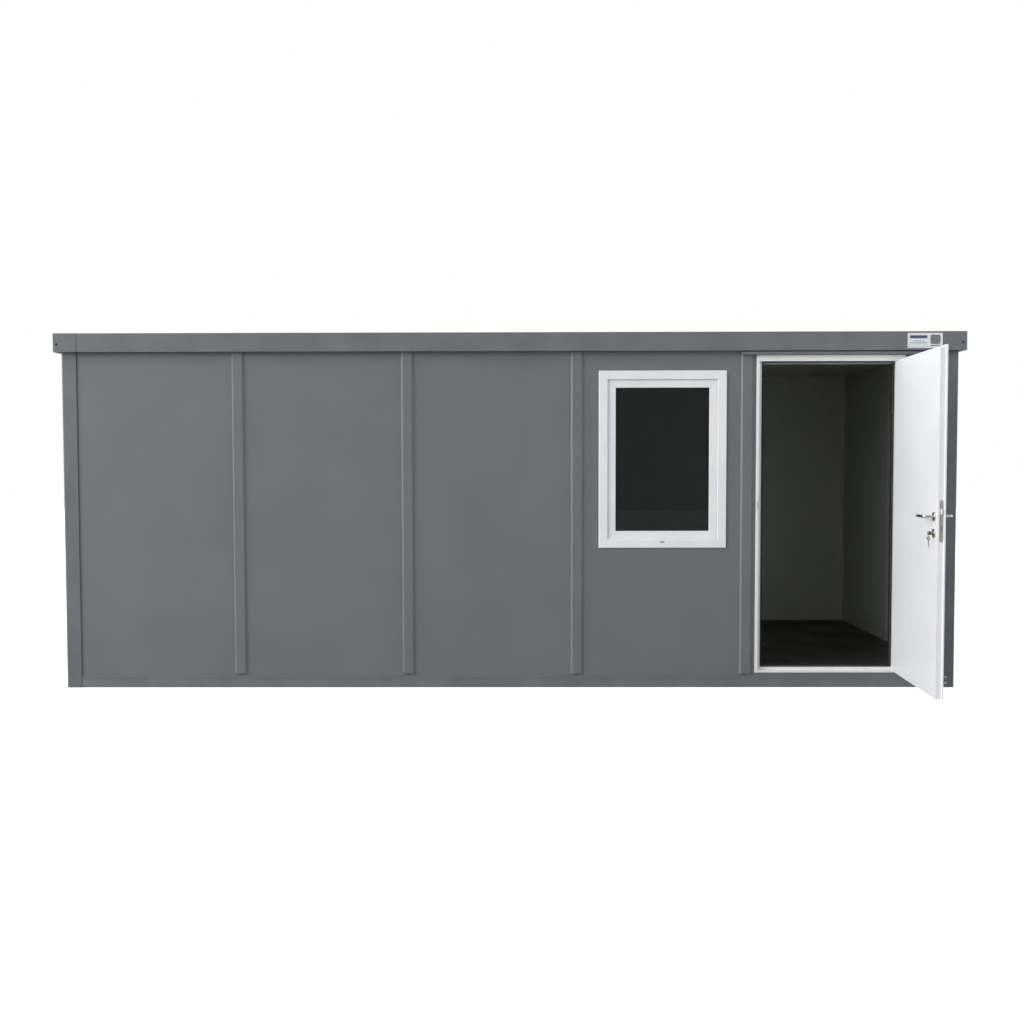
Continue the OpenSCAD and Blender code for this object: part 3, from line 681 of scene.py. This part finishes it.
# The window: mitred uPVC bars with a round outer edge, a flat sash, and two panes in black gaskets.
window = {
    "face": 60,  # visible width of the frame
    "hole": 18.3,  # where the frame goes back into the wall
    "seat": 0.3,
    "sash": 54,  # visible width of the sash
    "bite": 12,  # the panes' depth in the sash
    "play": 0.5,  # between the panes' edges and the groove's bottom
    "slack": 0.3,  # between the panes' faces and the groove's sides
    "pane": 4,
    "paneCorner": 2,
    "spacer": 8,
    "spacerIn": 1,
    "bond": 0.1,  # between the spacer and the panes
    "gasket": 3.2,
    "gasketIn": 0.6,  # share of its radius
    "gasketCorner": 3,
    # Edges as (inset, depth behind the front) from the bar's own corner.
    "outerEdge": ((0, 5), (0.6, 2.4), (2.2, 0.7), (5, 0)),
    "innerEdge": ((-6, 0), (-2, 1.6), (0, 5)),
    "sashEdge": ((0, 2), (1.5, 0)),
    "beadEdge": ((-3, 0), (-1, 1.2), (0, 4)),
    "beadBack": ((0, -6), (-8, 0)),
}
frameLow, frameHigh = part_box("window_frame")
glassLow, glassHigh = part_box("window_glass")
windowFront = frameLow.y
windowBack = frameHigh.y
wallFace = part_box("window_panel")[0].y


def windowBars(name, outline, material, stands=(), edge=0.0):
    bars = mitredBars((frameLow.x, frameLow.z), (frameHigh.x, frameHigh.z), [(i * mm, y) for i, y in outline])
    return addShape(name, bars, material, "cabin", stands, edge)


# One of the edges, set at an inset and a place along Y.
def edgeAt(name, inset, y):
    return [(inset + i, y + depth * mm) for i, depth in window[name]]


frameFace = window["face"]
windowBars("windowFrameBars", [
    (0, wallFace), *edgeAt("outerEdge", 0, windowFront), *edgeAt("innerEdge", frameFace, windowFront),
    (frameFace, windowBack), (window["hole"], windowBack), (window["hole"], wallFace)
], windowPvc, ["window_frame"], 0.5)

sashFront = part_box("window_sash")[0].y
outerFace = glassLow.y
innerFace = glassHigh.y
sashEdge = frameFace + window["seat"]
bead = frameFace + window["sash"]
groove = bead - window["bite"] - window["play"]
grooveFront = outerFace - window["slack"] * mm
grooveBack = innerFace + window["slack"] * mm
windowBars("windowSashBars", [
    (sashEdge, windowBack), *edgeAt("sashEdge", sashEdge, sashFront), *edgeAt("beadEdge", bead, sashFront),
    (bead, grooveFront), (groove, grooveFront), (groove, grooveBack), (bead, grooveBack),
    *edgeAt("beadBack", bead, windowBack)
], windowPvc, ["window_sash"], 0.5)

# Two panes with an aluminium spacer between them.
paneWidth = glassHigh.x - glassLow.x
paneHeight = glassHigh.z - glassLow.z
paneMiddle = (glassLow + glassHigh) / 2
paneTurn = Matrix.Rotation(math.pi / 2, 4, "X")
panes = []
for y in (outerFace + window["pane"] * mm, innerFace):
    pane = roundedOutline(paneWidth, paneHeight, window["paneCorner"] * mm, 2)
    place = at(paneMiddle.x, y, paneMiddle.z) @ paneTurn
    panes.append(moved(solid(pane, window["pane"] * mm), place))
addShape("windowPanes", joined(panes), glass, "cabin", ["window_glass"])
spacerIn = groove + window["spacerIn"]
spacerOut = spacerIn + window["spacer"]
spacerFront = outerFace + (window["pane"] + window["bond"]) * mm
spacerBack = innerFace - (window["pane"] + window["bond"]) * mm
windowBars("paneSpacer", [
    (spacerIn, spacerFront), (spacerOut, spacerFront), (spacerOut, spacerBack), (spacerIn, spacerBack)
], zincPlate)


# A loop a given distance in from the window frame's outer edge.
def windowLoop(inset, y, radius):
    return uprightLoop(frameLow.x + inset * mm, frameHigh.x - inset * mm, frameLow.z + inset * mm,
                       frameHigh.z - inset * mm, y, radius * mm)


gasket = window["gasket"]
gasketIn = bead + gasket * window["gasketIn"]
addCords("glazingGaskets", [
    windowLoop(gasketIn, outerFace - gasket * mm, window["gasketCorner"]),
    windowLoop(gasketIn, innerFace + gasket * mm, window["gasketCorner"])
], gasket, rubber, "cabin")

# Grey silicone between the frame and the sash, and where the frame meets the wall.
sashSeal = {"radius": 1.3, "inset": -0.4, "front": 0.9, "corner": 2}
wallSealant = {"radius": 2.2, "inset": -0.8, "front": 1.6, "corner": 3}
for name, seal, start, y, slot in (("sashSeal", sashSeal, frameFace, sashFront, "glazing"),
                                   ("wallSealant", wallSealant, 0, wallFace, "window_pvc")):
    line = windowLoop(start + seal["inset"], y - seal["front"] * mm, seal["corner"])
    addCords(name, [line], seal["radius"], sealGrey, "cabin")

# A black-capped drain slot in the frame's bottom bar.
drainCap = {"width": 28, "height": 7, "corner": 2.5, "rise": 1.2, "up": 40}
capOutline = roundedOutline(drainCap["width"] * mm, drainCap["height"] * mm, drainCap["corner"] * mm)
cap = solid(capOutline, drainCap["rise"] * mm)
capPlace = Vector(((frameLow.x + frameHigh.x) / 2, windowFront, frameLow.z + drainCap["up"] * mm))
addShape("drainCap", turnedTo((0, -1, 0), cap, capPlace), rubber, "cabin", edge=0.5)
print("window finished")

# The door frame and its parts.
for node in ("door_jamb_left", "door_jamb_right", "door_head", "door_sill"):
    finishNode(node, frameCoat, 1.2)

# Twin-lip EPDM seal round the stop.
doorSeal = {"radius": 2.4, "spread": 2.6, "stop": 34.5, "lockSide": 22, "side": 6.8, "sill": 10.4,
            "head": 17.5, "corner": 6}
headLow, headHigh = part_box("door_head")
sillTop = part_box("door_sill")[1].z
stopFace = headLow.y + doorSeal["stop"] * mm
lines = []
for step in (1, 3):
    inset = doorSeal["spread"] * step
    lines.append(uprightLoop(
        headLow.x + (doorSeal["lockSide"] + inset) * mm, headHigh.x - (doorSeal["side"] + inset) * mm,
        sillTop - (doorSeal["sill"] - inset) * mm, headLow.z + (doorSeal["head"] - inset) * mm,
        stopFace - doorSeal["radius"] * mm, doorSeal["corner"] * mm))
addCords("doorSeal", lines, doorSeal["radius"], rubber, "cabin")

# Rubber edging on the stop's sides and sill, and along its head; its black over the reveals' faces is painted
# shade, where those faces lie in shadow.
edgingShade = {"thick": 1.2, "radius": 0.5, "lip": 4}
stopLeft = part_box("door_jamb_left")[1].x
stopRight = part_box("door_jamb_right")[0].x
stopWide = stopRight - stopLeft
stopX = (stopLeft + stopRight) / 2
stopDepth = headHigh.y - stopFace
stopY = stopFace + stopDepth / 2
sideTall = headLow.z - sillTop


# A flat strip in X and Y.
def edgingShadeStrip(width, height):
    return solid(roundedOutline(width, height, edgingShade["radius"] * mm, 2), edgingShade["thick"] * mm)


strips = []
for x, way in ((stopLeft, 1), (stopRight, -1)):
    turn = Matrix(((0, 0, way), (way, 0, 0), (0, 1, 0))).to_4x4()
    place = at(x, stopY, sillTop + sideTall / 2)
    strips.append(moved(edgingShadeStrip(stopDepth, sideTall), place @ turn))
lipPlace = (stopX, stopFace, headLow.z + edgingShade["lip"] / 2 * mm)
strips.append(turnedTo((0, -1, 0), edgingShadeStrip(stopWide, edgingShade["lip"] * mm), lipPlace))
strips.append(moved(edgingShadeStrip(stopWide, stopDepth), at(stopX, stopY, sillTop)))
# The black strips on the stop's reveals stand in for their shadow: painted shade.
addShape("stopEdgingPaintedShade", joined(strips), rubber, "cabin")

# Turns the closed leaf's own frame to where the leaf stands at rest.
doorHinge = next(joint for joint in frame["record"]["behaviour"]["joints"] if joint["name"] == "door_hinge")
leafAngle = -math.radians(doorHinge["range_deg"][0])
hingeX, hingeY = doorHinge["pos_m"][:2]
leafTurn = at(hingeX, hingeY, 0) @ Matrix.Rotation(leafAngle, 4, "Z")


def leafBox(node):
    points = [leafTurn.inverted() @ vertex.co for vertex in frame["nodes"][node].data.vertices]
    return [Vector([most(p[i] for p in points) for i in range(3)]) for most in (min, max)]


# Moves a shape from the closed leaf's frame to the leaf as it stands.
def onLeaf(shape):
    return moved(shape, leafTurn)


finishNode("hinges_frame", lockSteel, 0.6)
finishNode("hinges_leaf", lockSteel, 0.6)
finishNode("door_leaf", leafCoat, 1.5)
finishNode("lock_faceplate", lockSteel, 0.4)
# The latch bolt's near-white coat is a painted highlight.
finishNode("latch_bolt", boltPaintedHighlight, 0.8)

# The strike plate on the lock jamb, cut out towards the front where the latch swings in.
strikePlate = {"tall": 180, "thick": 1.5, "back": 31, "front": 2, "slotHalf": 19, "slotBack": 21,
               "screwIn": 17, "screwUp": 72}
latchLow, latchHigh = leafBox("latch_bolt")
latchMiddle = (latchLow.z + latchHigh.z) / 2
plateHalf = strikePlate["tall"] / 2
front = strikePlate["front"]
slotHalf = strikePlate["slotHalf"]
slotBack = strikePlate["slotBack"]
outline = [(front, -plateHalf), (strikePlate["back"], -plateHalf), (strikePlate["back"], plateHalf),
           (front, plateHalf), (front, slotHalf), (slotBack, slotHalf), (slotBack, -slotHalf),
           (front, -slotHalf)]
plate = skin([[Vector((x, headLow.y + y * mm, latchMiddle + z * mm)) for y, z in outline]
              for x in (headLow.x, headLow.x + strikePlate["thick"] * mm)])
addShape("strikePlate", plate, lockSteel, "cabin", edge=0.3)

# The lock's roses, with a rolled rim and a hole for the neck or the cylinder.
rosette = {"radius": 27, "thick": 9, "necks": (10, 9)}
roseLow, roseHigh = leafBox("lock_roses")
axisX = (roseLow.x + roseHigh.x) / 2
handleZ = roseHigh.z - rosette["radius"] * mm
lockZ = roseLow.z + rosette["radius"] * mm
faceIn = roseHigh.y - rosette["thick"] * mm
faceOut = roseLow.y + rosette["thick"] * mm
roses = []
for height, hole in ((handleZ, rosette["necks"][0]), (lockZ, rosette["necks"][1])):
    r, t = rosette["radius"], rosette["thick"]
    profile = [(hole, 0), (r, 0), (r, t - 4), (r - 0.7, t - 2), (r - 2.4, t - 0.6), (r - 5, t),
               (hole + 1.4, t), (hole, t - 0.8)]
    for y, way in ((faceIn, (0, 1, 0)), (faceOut, (0, -1, 0))):
        rose = turned([(a * mm, b * mm) for a, b in profile], 56, True)
        roses.append(onLeaf(turnedTo(way, rose, (axisX, y, height))))
addShape("lockRoses", joined(roses), lockSteel, "door", ["lock_roses"], smooth=50)

# Lever handles: a round neck that bends into an oval grip, with its tip turned back to the leaf.
lever = {"neck": (8.6, 8.6), "grip": (9.4, 6.4), "tip": (7.8, 5.0), "bend": 17, "tipBend": 13, "tipIn": 21,
             "half": 8.5, "spindle": 8, "spindleCorner": 0.6, "spindlePast": 3}
handleHigh = leafBox("door_handle")[1]
reach = handleHigh.y - faceIn - lever["half"] * mm
length = handleHigh.x - axisX - lever["half"] * mm


def leverPath(side):
    bend = lever["bend"] * mm
    tip = lever["tipBend"] * mm
    flat = [(0, 0), (0, reach - bend)]
    halves = [lever["neck"], lever["neck"]]
    for i in range(1, 7):
        a = math.radians(15 * i)
        flat.append((bend - bend * math.cos(a), reach - bend + bend * math.sin(a)))
        halves.append(tuple(n + (g - n) * i / 6 for n, g in zip(lever["neck"], lever["grip"])))
    for i in range(1, 9):
        flat.append((bend + (length - tip - bend) * i / 8, reach))
        halves.append(tuple(g + (t - g) * i / 8 for g, t in zip(lever["grip"], lever["tip"])))
    for i in range(1, 7):
        a = math.radians(15 * i)
        flat.append((length - tip + tip * math.sin(a), reach - tip + tip * math.cos(a)))
        halves.append(lever["tip"])
    for down, share in ((0.7, 1), (0.9, 0.9), (0.98, 0.65), (1, 0.3)):
        flat.append((length, reach - tip - (lever["tipIn"] * mm - tip) * down))
        halves.append(tuple(t * share for t in lever["tip"]))
    start = faceIn if side > 0 else faceOut
    path = [Vector((axisX + x, start + side * y, handleZ)) for x, y in flat]
    return path, [(a * mm, b * mm) for a, b in halves]


levers = [onLeaf(sweptRod(*leverPath(side))) for side in (1, -1)]
square = lever["spindle"] * mm
past = lever["spindlePast"] * mm
spindle = roundedOutline(square, square, lever["spindleCorner"] * mm, 2)
spindle = solid(spindle, faceIn - faceOut + 2 * past)
levers.append(onLeaf(turnedTo((0, 1, 0), spindle, (axisX, faceOut - past, handleZ))))
addShape("leverHandles", joined(levers), lockSteel, "handle", ["door_handle"], smooth=60)

# The lock cylinder: a brass barrel whose plug is split by the keyway at each end.
cylinder = {"radius": 8.7, "rim": 0.8, "plug": 6.4, "recess": 2, "keyway": 2.9, "gap": 0.1, "sunk": 0.3}
barrelLow, barrelHigh = leafBox("lock_cylinder")
barrelLong = (barrelHigh.y - barrelLow.y) / mm
r, rim = cylinder["radius"], cylinder["rim"]
plug, recess = cylinder["plug"], cylinder["recess"]
profile = [(plug, recess), (plug, 0), (r - rim, 0), (r, rim), (r, barrelLong - rim), (r - rim, barrelLong),
           (plug, barrelLong), (plug, barrelLong - recess)]
barrel = turned([(a * mm, b * mm) for a, b in profile], 40)
parts = [onLeaf(turnedTo((0, 1, 0), barrel, (axisX, barrelLow.y, lockZ)))]
slit = math.asin(cylinder["keyway"] / 2 / plug)
plugRadius = (plug - cylinder["gap"]) * mm
for side in (0, math.pi):
    turns = [side + slit + (math.pi - 2 * slit) * i / 14 for i in range(15)]
    moon = [(plugRadius * math.sin(a), plugRadius * math.cos(a)) for a in turns]
    for y, way in ((barrelHigh.y - recess * mm, (0, 1, 0)), (barrelLow.y + recess * mm, (0, -1, 0))):
        plugHalf = solid(moon, (recess - cylinder["sunk"]) * mm)
        parts.append(onLeaf(turnedTo(way, plugHalf, (axisX, y, lockZ))))
addShape("lockBarrel", joined(parts), brass, "door", ["lock_cylinder"], smooth=40)

# Keys with a round bow and a cut blade: one stands in the lock, its spare hangs from the ring.
keyCut = {"bow": 12, "hole": 3, "holeIn": 5, "thick": 2.4, "blade": 7, "out": 17, "spare": 52, "ring": 11,
           "wire": 1, "sway": 0.7, "seat": 0.3, "shank": 5, "pitch": 4}


# Drawn in X and Y with the blade along -Y and the bow's middle at the origin.
def keyShape(blade):
    bow, hole, pitch = keyCut["bow"], keyCut["hole"], keyCut["pitch"]
    rings = []
    for radius, lift, side in ((bow, 0, -0.5), (bow, 0, 0.5), (hole, 1, 0.5), (hole, 1, -0.5)):
        rings.append([Vector((radius * math.cos(a), radius * math.sin(a) + keyCut["holeIn"] * lift,
                              side * keyCut["thick"])) * mm for a in around(36)])
    w = keyCut["blade"] / 2
    edge = [(-w, -bow + 2), (-w, -blade + 2), (-w + 2, -blade), (w - 2.5, -blade)]
    cuts = max(0, int((blade - bow - keyCut["shank"]) / pitch))
    for i in range(cuts):
        y = -blade + 3 + pitch * i
        edge += [(w - 0.5, y - 1.2), (w - 2.4 + 0.9 * (i % 2), y + 0.3), (w - 2.4 + 0.9 * (i % 2), y + 1.2),
                 (w - 0.4, y + 2.6)]
    edge += [(w, -blade + 3 + pitch * cuts), (w, -bow + 2)]
    bladeThick = 0.8 * keyCut["thick"] * mm
    flat = solid([(x * mm, y * mm) for x, y in edge], bladeThick)
    return joined([skin(rings, True), moved(flat, at(0, 0, -bladeThick / 2))])


edgeOn = Matrix.Rotation(math.pi / 2, 4, "Y")
bowY = barrelHigh.y + keyCut["out"] * mm
ringDrop = (keyCut["hole"] - keyCut["wire"] - keyCut["seat"]) * mm
ringZ = lockZ - ringDrop - keyCut["ring"] * mm
hangZ = ringZ - (keyCut["ring"] - keyCut["wire"] - keyCut["seat"] + keyCut["hole"] + keyCut["holeIn"]) * mm
ringY = bowY + keyCut["holeIn"] * mm
# The key in the lock and the ring are coloured dark brown: a painted reflection.
keyInLock = onLeaf(moved(keyShape(keyCut["out"] - keyCut["seat"]), at(axisX, bowY, lockZ) @ edgeOn))
addShape("keyInLock", keyInLock, keyNickel, "door", ["keys"], edge=0.3)
spareTurn = at(axisX, ringY, hangZ) @ Matrix.Rotation(math.pi / 2, 4, "X") @ edgeOn
# The spare key's near-white brass is a painted highlight.
spareKey = onLeaf(moved(keyShape(keyCut["spare"]), spareTurn))
addShape("spareKey", spareKey, keyBrass, "door", edge=0.3)
ringRadius = keyCut["ring"] * mm
sway = keyCut["sway"] * mm
ringLine = [leafTurn @ Vector((axisX + ringRadius * math.cos(a), ringY + sway * math.sin(a / 2),
                               ringZ + ringRadius * math.sin(a))) for a in around(40)]
addCords("keyRing", [ringLine], keyCut["wire"], keyNickel, "door")

# Countersunk screws: two in the faceplate, two in the strike plate and four in each hinge.
plateLow, plateHigh = leafBox("lock_faceplate")
plateMiddleY = (plateLow.y + plateHigh.y) / 2
smallScrews = {"head": 4.2, "top": 3.2, "rise": 0.5, "washer": 4.2, "washerRise": 0.2, "sides": 20, "in": 12}
leafWay = leafTurn.to_3x3() @ Vector((-1, 0, 0))
places = [(leafTurn @ Vector((plateLow.x, plateMiddleY, z)), leafWay)
          for z in (plateLow.z + smallScrews["in"] * mm, plateHigh.z - smallScrews["in"] * mm)]
hingeLow, hingeHigh = leafBox("hinges_leaf")
hingeFlap = {"tall": 45, "wide": 52, "thick": 4, "screwsUp": (11, 34), "screwsIn": (18, 38)}
flapTall = hingeFlap["tall"] * mm
flapY = faceOut - hingeFlap["thick"] * mm
inWay = leafTurn.to_3x3() @ Vector((0, -1, 0))
for z in (hingeLow.z, (hingeLow.z + hingeHigh.z - flapTall) / 2, hingeHigh.z - flapTall):
    for up in hingeFlap["screwsUp"]:
        for inset in hingeFlap["screwsIn"]:
            x = hingeLow.x + (hingeFlap["wide"] - inset) * mm
            places.append((leafTurn @ Vector((x, flapY, z + up * mm)), inWay))
addFasteners("leafScrews", places, smallScrews, zincPlate, "door")
strikeX = headLow.x + strikePlate["thick"] * mm
strikeY = headLow.y + strikePlate["screwIn"] * mm
places = [(Vector((strikeX, strikeY, latchMiddle + way * strikePlate["screwUp"] * mm)), (1, 0, 0))
          for way in (-1, 1)]
addFasteners("strikeScrews", places, smallScrews, zincPlate, "cabin")

# The deadbolt's slot in the faceplate, closed by the drawn-in bolt.
deadbolt = {"wide": 11, "tall": 34, "corner": 1, "rise": 0.5, "up": 30}
boltOutline = roundedOutline(deadbolt["wide"] * mm, deadbolt["tall"] * mm, deadbolt["corner"] * mm)
boltPlace = Vector((plateLow.x, plateMiddleY, lockZ + deadbolt["up"] * mm))
boltEnd = onLeaf(turnedTo((-1, 0, 0), solid(boltOutline, deadbolt["rise"] * mm), boltPlace))
addShape("deadboltEnd", boltEnd, boltSteel, "door", edge=0.15)
print("door finished")

# A plain plate on the fascia: a rim, a blank heading, rules, an empty field and an empty square.
sign = {
    "thick": 1.4,
    "rise": 0.3,
    "corner": 3,
    "rivetIn": 5,
    # Fields in mm from the lower left corner: left, bottom, width and height.
    "heading": ((14, 64, 116, 20),),
    "rules": ((34, 46, 76, 3), (14, 34, 116, 3), (12, 27, 120, 1), (12, 6, 120, 1), (12, 6, 1, 22),
              (131, 6, 1, 22)),
    "square": ((152, 26, 66, 62), (152, 12, 66, 7)),
}
signLow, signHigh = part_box("name_plate")
signSpan = signHigh - signLow
signMiddle = (signLow + signHigh) / 2
signFace = signHigh.y - sign["thick"] * mm
signPlate = solid(roundedOutline(signSpan.x, signSpan.z, sign["corner"] * mm), sign["thick"] * mm)
signPlate = turnedTo((0, -1, 0), signPlate, (signMiddle.x, signHigh.y, signMiddle.z))
addShape("namePlate", signPlate, signSheet, "cabin", ["name_plate"], 0.3)


# A raised flat rectangle on the plate.
def signField(x, z, width, height):
    outline = roundedOutline(width * mm, height * mm, min(width, height) * 0.15 * mm, 2)
    place = Vector((signLow.x + (x + width / 2) * mm, signFace, signLow.z + (z + height / 2) * mm))
    return turnedTo((0, -1, 0), solid(outline, sign["rise"] * mm), place)


for name, fields, colour in (("plateHeading", "heading", signInk), ("plateRules", "rules", signGrey),
                             ("plateSquare", "square", signGrey)):
    addShape(name, joined([signField(*field) for field in sign[fields]]), colour, "cabin")
signRivets = {"head": 2.2, "top": 1.4, "rise": 0.5, "washer": 2.2, "washerRise": 0.1, "sides": 16}
rivetIn = sign["rivetIn"] * mm
places = [(Vector((x, signFace, z)), (0, -1, 0)) for x in (signLow.x + rivetIn, signHigh.x - rivetIn)
          for z in (signLow.z + rivetIn, signHigh.z - rivetIn)]
addFasteners("plateRivets", places, signRivets, zincPlate, "cabin")
print("plate finished")


studio = {
    "floorSize": 60,
    "floorDrop": 0.5 * mm,
    "floorGlow": 0.62,  # white that only the camera sees
    "skyTop": 0.32,  # light from overhead, added to the horizon's
    "skyHorizon": 0.26,
    "skyLeft": 1.57,
    "skyRight": 1.07,
    "keyPlace": (-20.0, -10.5, 8.0),
    "keyAim": (0.5, -1.2, 1.0),
    "keySize": 14.0,
    "keyPower": 3000,
}

half = studio["floorSize"] / 2
corners = [(-half, -half, 0), (half, -half, 0), (half, half, 0), (-half, half, 0)]
floorMesh = bpy.data.meshes.new("studioFloor")
floorMesh.from_pydata(corners, [], [range(4)])
studioFloor = bpy.data.objects.new("studioFloor", floorMesh)
studioFloor.location.z = -studio["floorDrop"]
scene.collection.objects.link(studioFloor)


# A pale floor that reads as white, and gives back only a little light.
def paleFloor():
    dull = {"Base Color": linear("#8c8c8c"), "Roughness": 0.9}
    material, tree, shader = newMaterial("paleStudioFloor", dull)
    white = addNode(tree, "ShaderNodeEmission", {"Color": (1, 1, 1, 1), "Strength": studio["floorGlow"]})
    pale = addNode(tree, "ShaderNodeBsdfDiffuse", {"Color": (0.8, 0.8, 0.8, 1)})
    seen = addNode(tree, "ShaderNodeAddShader", {0: white.outputs["Emission"], 1: pale.outputs["BSDF"]})
    out = tree.nodes["Material Output"]
    splitRays(tree, out, "Is Camera Ray", shader.outputs["BSDF"], seen.outputs["Shader"])
    return material


studioFloor.data.materials.append(paleFloor())


# Soft light from above and both sides, dim straight ahead so the panes stay dark; white behind the cabin.
def studioSky():
    world = bpy.data.worlds.new("studioSky")
    world.use_nodes = True
    tree = world.node_tree
    tree.nodes.clear()
    out = addNode(tree, "ShaderNodeOutputWorld")
    facing = addNode(tree, "ShaderNodeTexCoord").outputs["Generated"]
    axes = addNode(tree, "ShaderNodeSeparateXYZ", {"Vector": facing})
    total = studio["skyHorizon"]
    for axis, start, end, strength in (("Z", 0.05, 0.6, "skyTop"), ("X", -0.2, -0.85, "skyLeft"),
                                       ("X", 0.2, 0.85, "skyRight")):
        lobe = addNode(tree, "ShaderNodeMapRange", {
            "Value": axes.outputs[axis], "From Min": start, "From Max": end, "To Max": studio[strength]
        }, interpolation_type="SMOOTHSTEP")
        total = addNode(tree, "ShaderNodeMath", {0: total, 1: lobe.outputs["Result"]}).outputs["Value"]
    light = addNode(tree, "ShaderNodeBackground", {"Color": (0.97, 0.985, 1, 1), "Strength": total})
    plain = addNode(tree, "ShaderNodeBackground", {"Color": (1, 1, 1, 1), "Strength": 1})
    splitRays(tree, out, "Is Camera Ray", light.outputs["Background"], plain.outputs["Background"])
    scene.world = world


studioSky()

keyLamp = bpy.data.lights.new("softKey", "AREA")
keyLamp.shape = "SQUARE"
keyLamp.size = studio["keySize"]
keyLamp.energy = studio["keyPower"]
keyLight = bpy.data.objects.new("softKey", keyLamp)
keyLight.location = studio["keyPlace"]
keyLight.rotation_euler = (Vector(studio["keyAim"]) - keyLight.location).to_track_quat("-Z", "Y").to_euler()
scene.collection.objects.link(keyLight)
scene.view_settings.view_transform = "Standard"


camera = {
    "standOff": 7.4663,  # from the posts' front faces
    "side": 0.0721,
    "height": 1.5223,
    "yaw": -0.40,  # degrees, towards +X
    "pitch": -2.48,
    "roll": -0.10,
    "lens": 38.74,  # on a 36 mm sensor
}
eyeTurn = Matrix.Identity(4)
for degrees, axis in ((-camera["yaw"], "Z"), (90 + camera["pitch"], "X"), (camera["roll"], "Z")):
    eyeTurn = eyeTurn @ Matrix.Rotation(math.radians(degrees), 4, axis)
eyePlace = (camera["side"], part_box("corner_posts")[0].y - camera["standOff"], camera["height"])
eyeData = bpy.data.cameras.new("viewer")
eyeData.lens = camera["lens"]
eyeData.sensor_width = 36
eye = bpy.data.objects.new("viewer", eyeData)
eye.matrix_world = at(*eyePlace) @ eyeTurn
scene.collection.objects.link(eye)
scene.camera = eye

print("scene ready")
